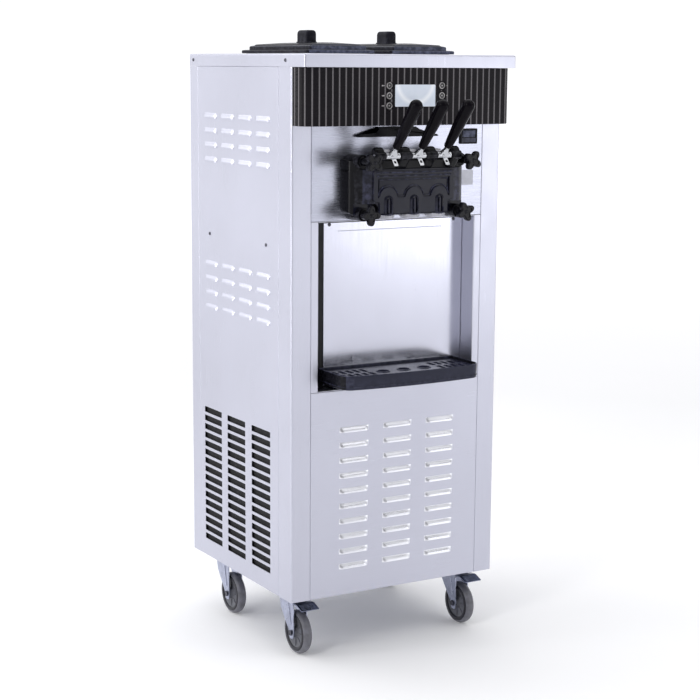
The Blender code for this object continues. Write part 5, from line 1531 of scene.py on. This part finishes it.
def wheel(name, top):
    """A grey disc with a hub, a dark core and a pale crowned tread."""
    axle = Vector((top.x, top.y - TRAIL, AXLE_Z))
    hub = LEG_INNER - 0.0008
    half = 0.0120
    right = [(0.0056, hub), (0.0105, hub), (0.0120, hub - 0.0010), (0.0130, 0.0085), (0.0150, 0.0066),
             (0.0240, 0.0056),
             (0.0325, 0.0066), (0.0350, 0.0090)]
    disc = right + [(radius, -across) for radius, across in reversed(right)]
    rim = [(0.0345, 0.0070), (0.0355, 0.0108), (0.0370, half), (0.0405, half), (0.0425, 0.0112),
           (0.0432, 0.0090)]
    core = rim + [(radius, -across) for radius, across in reversed(rim)]
    crown = [(0.0425, 0.0092), (0.0442, 0.0106), (0.0462, 0.0104)]
    crown += [(0.0500 - 0.0038 * abs(cos(pi * s / 14)) ** 3.2, 0.0098 * cos(pi * s / 14)) for s in range(1,
                                                                                                         14)]
    crown += [(0.0462, -0.0104), (0.0442, -0.0106), (0.0425, -0.0092)]
    shapes = [lathe(disc, axle, ACROSS, 72), painted(lathe(core, axle, ACROSS, 72), 1),
              painted(lathe(crown, axle, ACROSS, 96), 2)]
    for way in (-1, 1):
        cover = lathe([(0.0056, 0), (0.0100, 0), (0.0094, 0.0007), (0.0056, 0.0007)],
                      axle + Vector((way * (hub - 0.0003), 0, 0)), (way, 0, 0), 40)
        shapes.append(painted(cover, 1))
        for number in range(8):
            turn = Matrix.Translation(axle) @ Matrix.Rotation(2 * pi * number / 8, 4, "X")
            span = sorted((way * 0.0040, way * 0.0078))
            rib = softened(block((span[0], -0.0011, 0.0140), (span[1], 0.0011, 0.0335)), 0.0006, 1)
            shapes.append(moved(rib, turn))
    body = f"caster_wheel_{name}"
    piece(f"wheel_{name}", joined(shapes), ["wheel_disc", "tyre_core", "tread"], body, [body], sharp=40)


def pedal(name, top):
    """The brake pedal: a bent tread plate with grip bars over a dark shoe, on a neck in the fork."""
    x, y, high = top
    pivot = Vector((x, y - 0.034, high - 0.019))
    bend, crest, toe = y - 0.047, y - 0.066, y - 0.0895
    upper = [(y - 0.032, high - 0.017), (bend, high - 0.0120), (crest, high - 0.0102), (toe, high - 0.0182)]
    lower = [(a, b - 0.0026) for a, b in reversed(upper)]
    outline = filleted(upper + lower, [0, 0.008, 0.012, 0.0008, 0.0008, 0.012, 0.008, 0], True, 5)
    wide = [(a, b) for a, b in outline if a < bend + 0.0015]
    tread = prism(wide, x - 0.0228, x + 0.0228, "X", 0.0007, 2)
    neck = prism(outline, x - 0.0118, x + 0.0118, "X", 0.0005, 2)
    bars = []
    for step in range(5):
        along = 0.15 + 0.17 * step
        spot_y, spot_z = crest + (toe - crest) * along, high - 0.0102 - 0.0080 * along
        bars.append(tube([(x - 0.0185, spot_y, spot_z), (x + 0.0185, spot_y, spot_z)], 0.0009, 8))
    lip = tube([(x - 0.0222, toe + 0.0004, high - 0.0194), (x + 0.0222, toe + 0.0004, high - 0.0194)], 0.0013,
               10)
    shoe = painted(softened(block((x - 0.0105, crest - 0.010, high - 0.0250), (x + 0.0105, crest + 0.012,
                                                                             high - 0.0135)), 0.002, 3), 1)
    pin = rod((x - LEG_INNER + 0.0003, pivot.y, pivot.z), (x + LEG_INNER - 0.0003, pivot.y, pivot.z), 0.003)
    body = f"brake_pedal_{name}"
    piece(f"pedal_{name}", joined([tread, neck, *bars, lip, shoe, pin]), ["zinc", "shadow_black"], body,
          [body],
          sharp=40)


def caster_bolts():
    """The nuts that hold each caster's plate to the base."""
    nuts = []
    for _, top in caster_names():
        for across in (-0.032, 0.032):
            for along in (-0.037, 0.037):
                centre = (top.x + across, top.y + along, BOTTOM - 0.0042)
                nuts.append(hex_nut(centre, 0.0050, -0.0036, UP))
    piece("caster_bolts", joined(nuts), "screw_steel")


def casters():
    for name, top in caster_names():
        fork(name, top)
        wheel(name, top)
        if name.startswith("front"):
            pedal(name, top)
    caster_bolts()


def inner_looks():
    """Finishes for the CAD pieces that keep their own shape."""
    finishes = {
        "zinc": ["base_pan", "control_box"],
        "steel_inside": ["freezing_cylinder_left", "freezing_cylinder_right"],
        "chrome": ["beater_left", "beater_right"],
        "enamel": ["gear_motor_left", "gear_motor_right", "compressor", "fan_motor"],
        "fins": ["condenser"],
        "knob_black": ["condenser_fan", "cable_gland"],
    }
    for look, nodes in finishes.items():
        for node in nodes:
            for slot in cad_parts[node].material_slots:
                slot.material = LOOKS[look][0]


# ---- stage --------------------------------------------------------------------------------
CAMERA_PLACE = (-1.9776, -3.3390, 1.3267)
CAMERA_YAW = 0.5296          # from +Y towards +X
CAMERA_PITCH = 0.1686        # below the horizon
CAMERA_ROLL = 0.0067
CAMERA_LENS = 86.41
ROOM_FRONT, ROOM_BACK = 0.30, 1.08       # strength of the world's light from either end of the room
FLOOR_GLOW = (0.12, 0.70)                # the floor's own light under the machine and far from it


def camera():
    data = bpy.data.cameras.new("camera")
    data.lens = CAMERA_LENS
    data.clip_end = 500.0
    obj = bpy.data.objects.new("camera", data)
    bpy.context.scene.collection.objects.link(obj)
    ahead = Vector((sin(CAMERA_YAW) * cos(CAMERA_PITCH), cos(CAMERA_YAW) * cos(CAMERA_PITCH),
                    -sin(CAMERA_PITCH)))
    right = Vector((cos(CAMERA_YAW), -sin(CAMERA_YAW), 0))
    up = right.cross(ahead)
    across = right * cos(CAMERA_ROLL) + up * sin(CAMERA_ROLL)
    upright = up * cos(CAMERA_ROLL) - right * sin(CAMERA_ROLL)
    turn = Matrix((across, upright, -ahead)).transposed().to_4x4()
    obj.matrix_world = Matrix.Translation(CAMERA_PLACE) @ turn
    bpy.context.scene.camera = obj


def soft_box(name, place, target, size, radiance, tint=(1.0, 1.0, 1.0)):
    data = bpy.data.lights.new(name, "AREA")
    data.shape = "RECTANGLE"
    data.size, data.size_y = size
    data.energy = radiance * pi * size[0] * size[1]
    data.color = tint
    obj = bpy.data.objects.new(name, data)
    bpy.context.scene.collection.objects.link(obj)
    aim = (Vector(target) - Vector(place)).to_track_quat("-Z", "Y").to_matrix().to_4x4()
    obj.matrix_world = Matrix.Translation(place) @ aim


def studio_world():
    """Pale towards the back of the room and dim in front, so that dark plastics stay dark."""
    world = bpy.data.worlds.new("studio")
    world.use_nodes = True
    tree = world.node_tree
    background = tree.nodes["Background"]
    split = tree.nodes.new("ShaderNodeSeparateXYZ")
    tree.links.new(tree.nodes.new("ShaderNodeTexCoord").outputs["Generated"], split.inputs[0])
    depth = tree.nodes.new("ShaderNodeMapRange")
    for label, value in (("From Min", -0.5), ("From Max", 0.5), ("To Min", ROOM_FRONT),
                         ("To Max", ROOM_BACK)):
        depth.inputs[label].default_value = value
    tree.links.new(split.outputs["Y"], depth.inputs["Value"])
    tree.links.new(depth.outputs["Result"], background.inputs["Strength"])
    background.inputs["Color"].default_value = (0.975, 0.98, 1.0, 1.0)
    bpy.context.scene.world = world


def stage():
    floor_look = Look("floor", Roughness=0.9, Specular_IOR_Level=0.1)
    tone = floor_look.mixed(floor_look.noise(3.0), (0.90, 0.90, 0.91), (0.92, 0.92, 0.93))
    floor_look.feed("Base Color", tone)
    floor_look.feed("Emission Color", tone)
    reach = floor_look.node("ShaderNodeVectorMath", {"operation": "LENGTH"}, {0: floor_look.object_place})
    floor_look.feed("Emission Strength", floor_look.ramp(reach.outputs["Value"], *FLOOR_GLOW, 3.0, 10.0))
    bm = bmesh.new()
    bmesh.ops.create_circle(bm, cap_ends=True, segments=96, radius=400.0)
    mesh = bpy.data.meshes.new("floor")
    bm.to_mesh(mesh)
    bm.free()
    mesh.materials.append(floor_look.material)
    floor = bpy.data.objects.new("floor", mesh)
    bpy.context.scene.collection.objects.link(floor)
    studio_world()
    bpy.context.scene.view_settings.view_transform = "Standard"
    soft_box("overhead", (0.0, 0.5, 4.5), (0, 0.5, 0), (5.0, 5.0), 0.9)
    soft_box("top_front", (1.8, -2.6, 3.3), (0, -0.2, 0.5), (2.4, 1.6), 1.4)
    soft_box("left_back", (-3.4, 3.8, 3.2), (-0.2, 0.1, 1.0), (2.6, 2.0), 2.0)
    soft_box("left", (-4.0, 0.9, 1.2), (-0.1, -0.2, 1.0), (0.5, 2.0), 10.0)
    soft_box("left_front", (-3.2, -1.6, 2.8), (0, 0, 1.0), (0.7, 1.4), 9.0, (1.0, 0.99, 0.98))
    soft_box("right_front", (3.2, -3.7, 1.2), (0, -0.1, 0.9), (2.2, 1.8), 1.4, (0.97, 0.98, 1.0))


for make in (camera, stage, side_panels, lower_front, front_corner_posts, rear_cover, upper_front,
             serving_bay,
             seam_strips, filter_mats, top_cover, screws, fascia, fascia_keys, fascia_marks, hopper_basins, hopper_covers,
             dispensing_front, nozzle_caps, hinge_pin, levers, pistons, knobs, panel_trims, blank_label, tray, grid, casters,
             inner_looks):
    make()
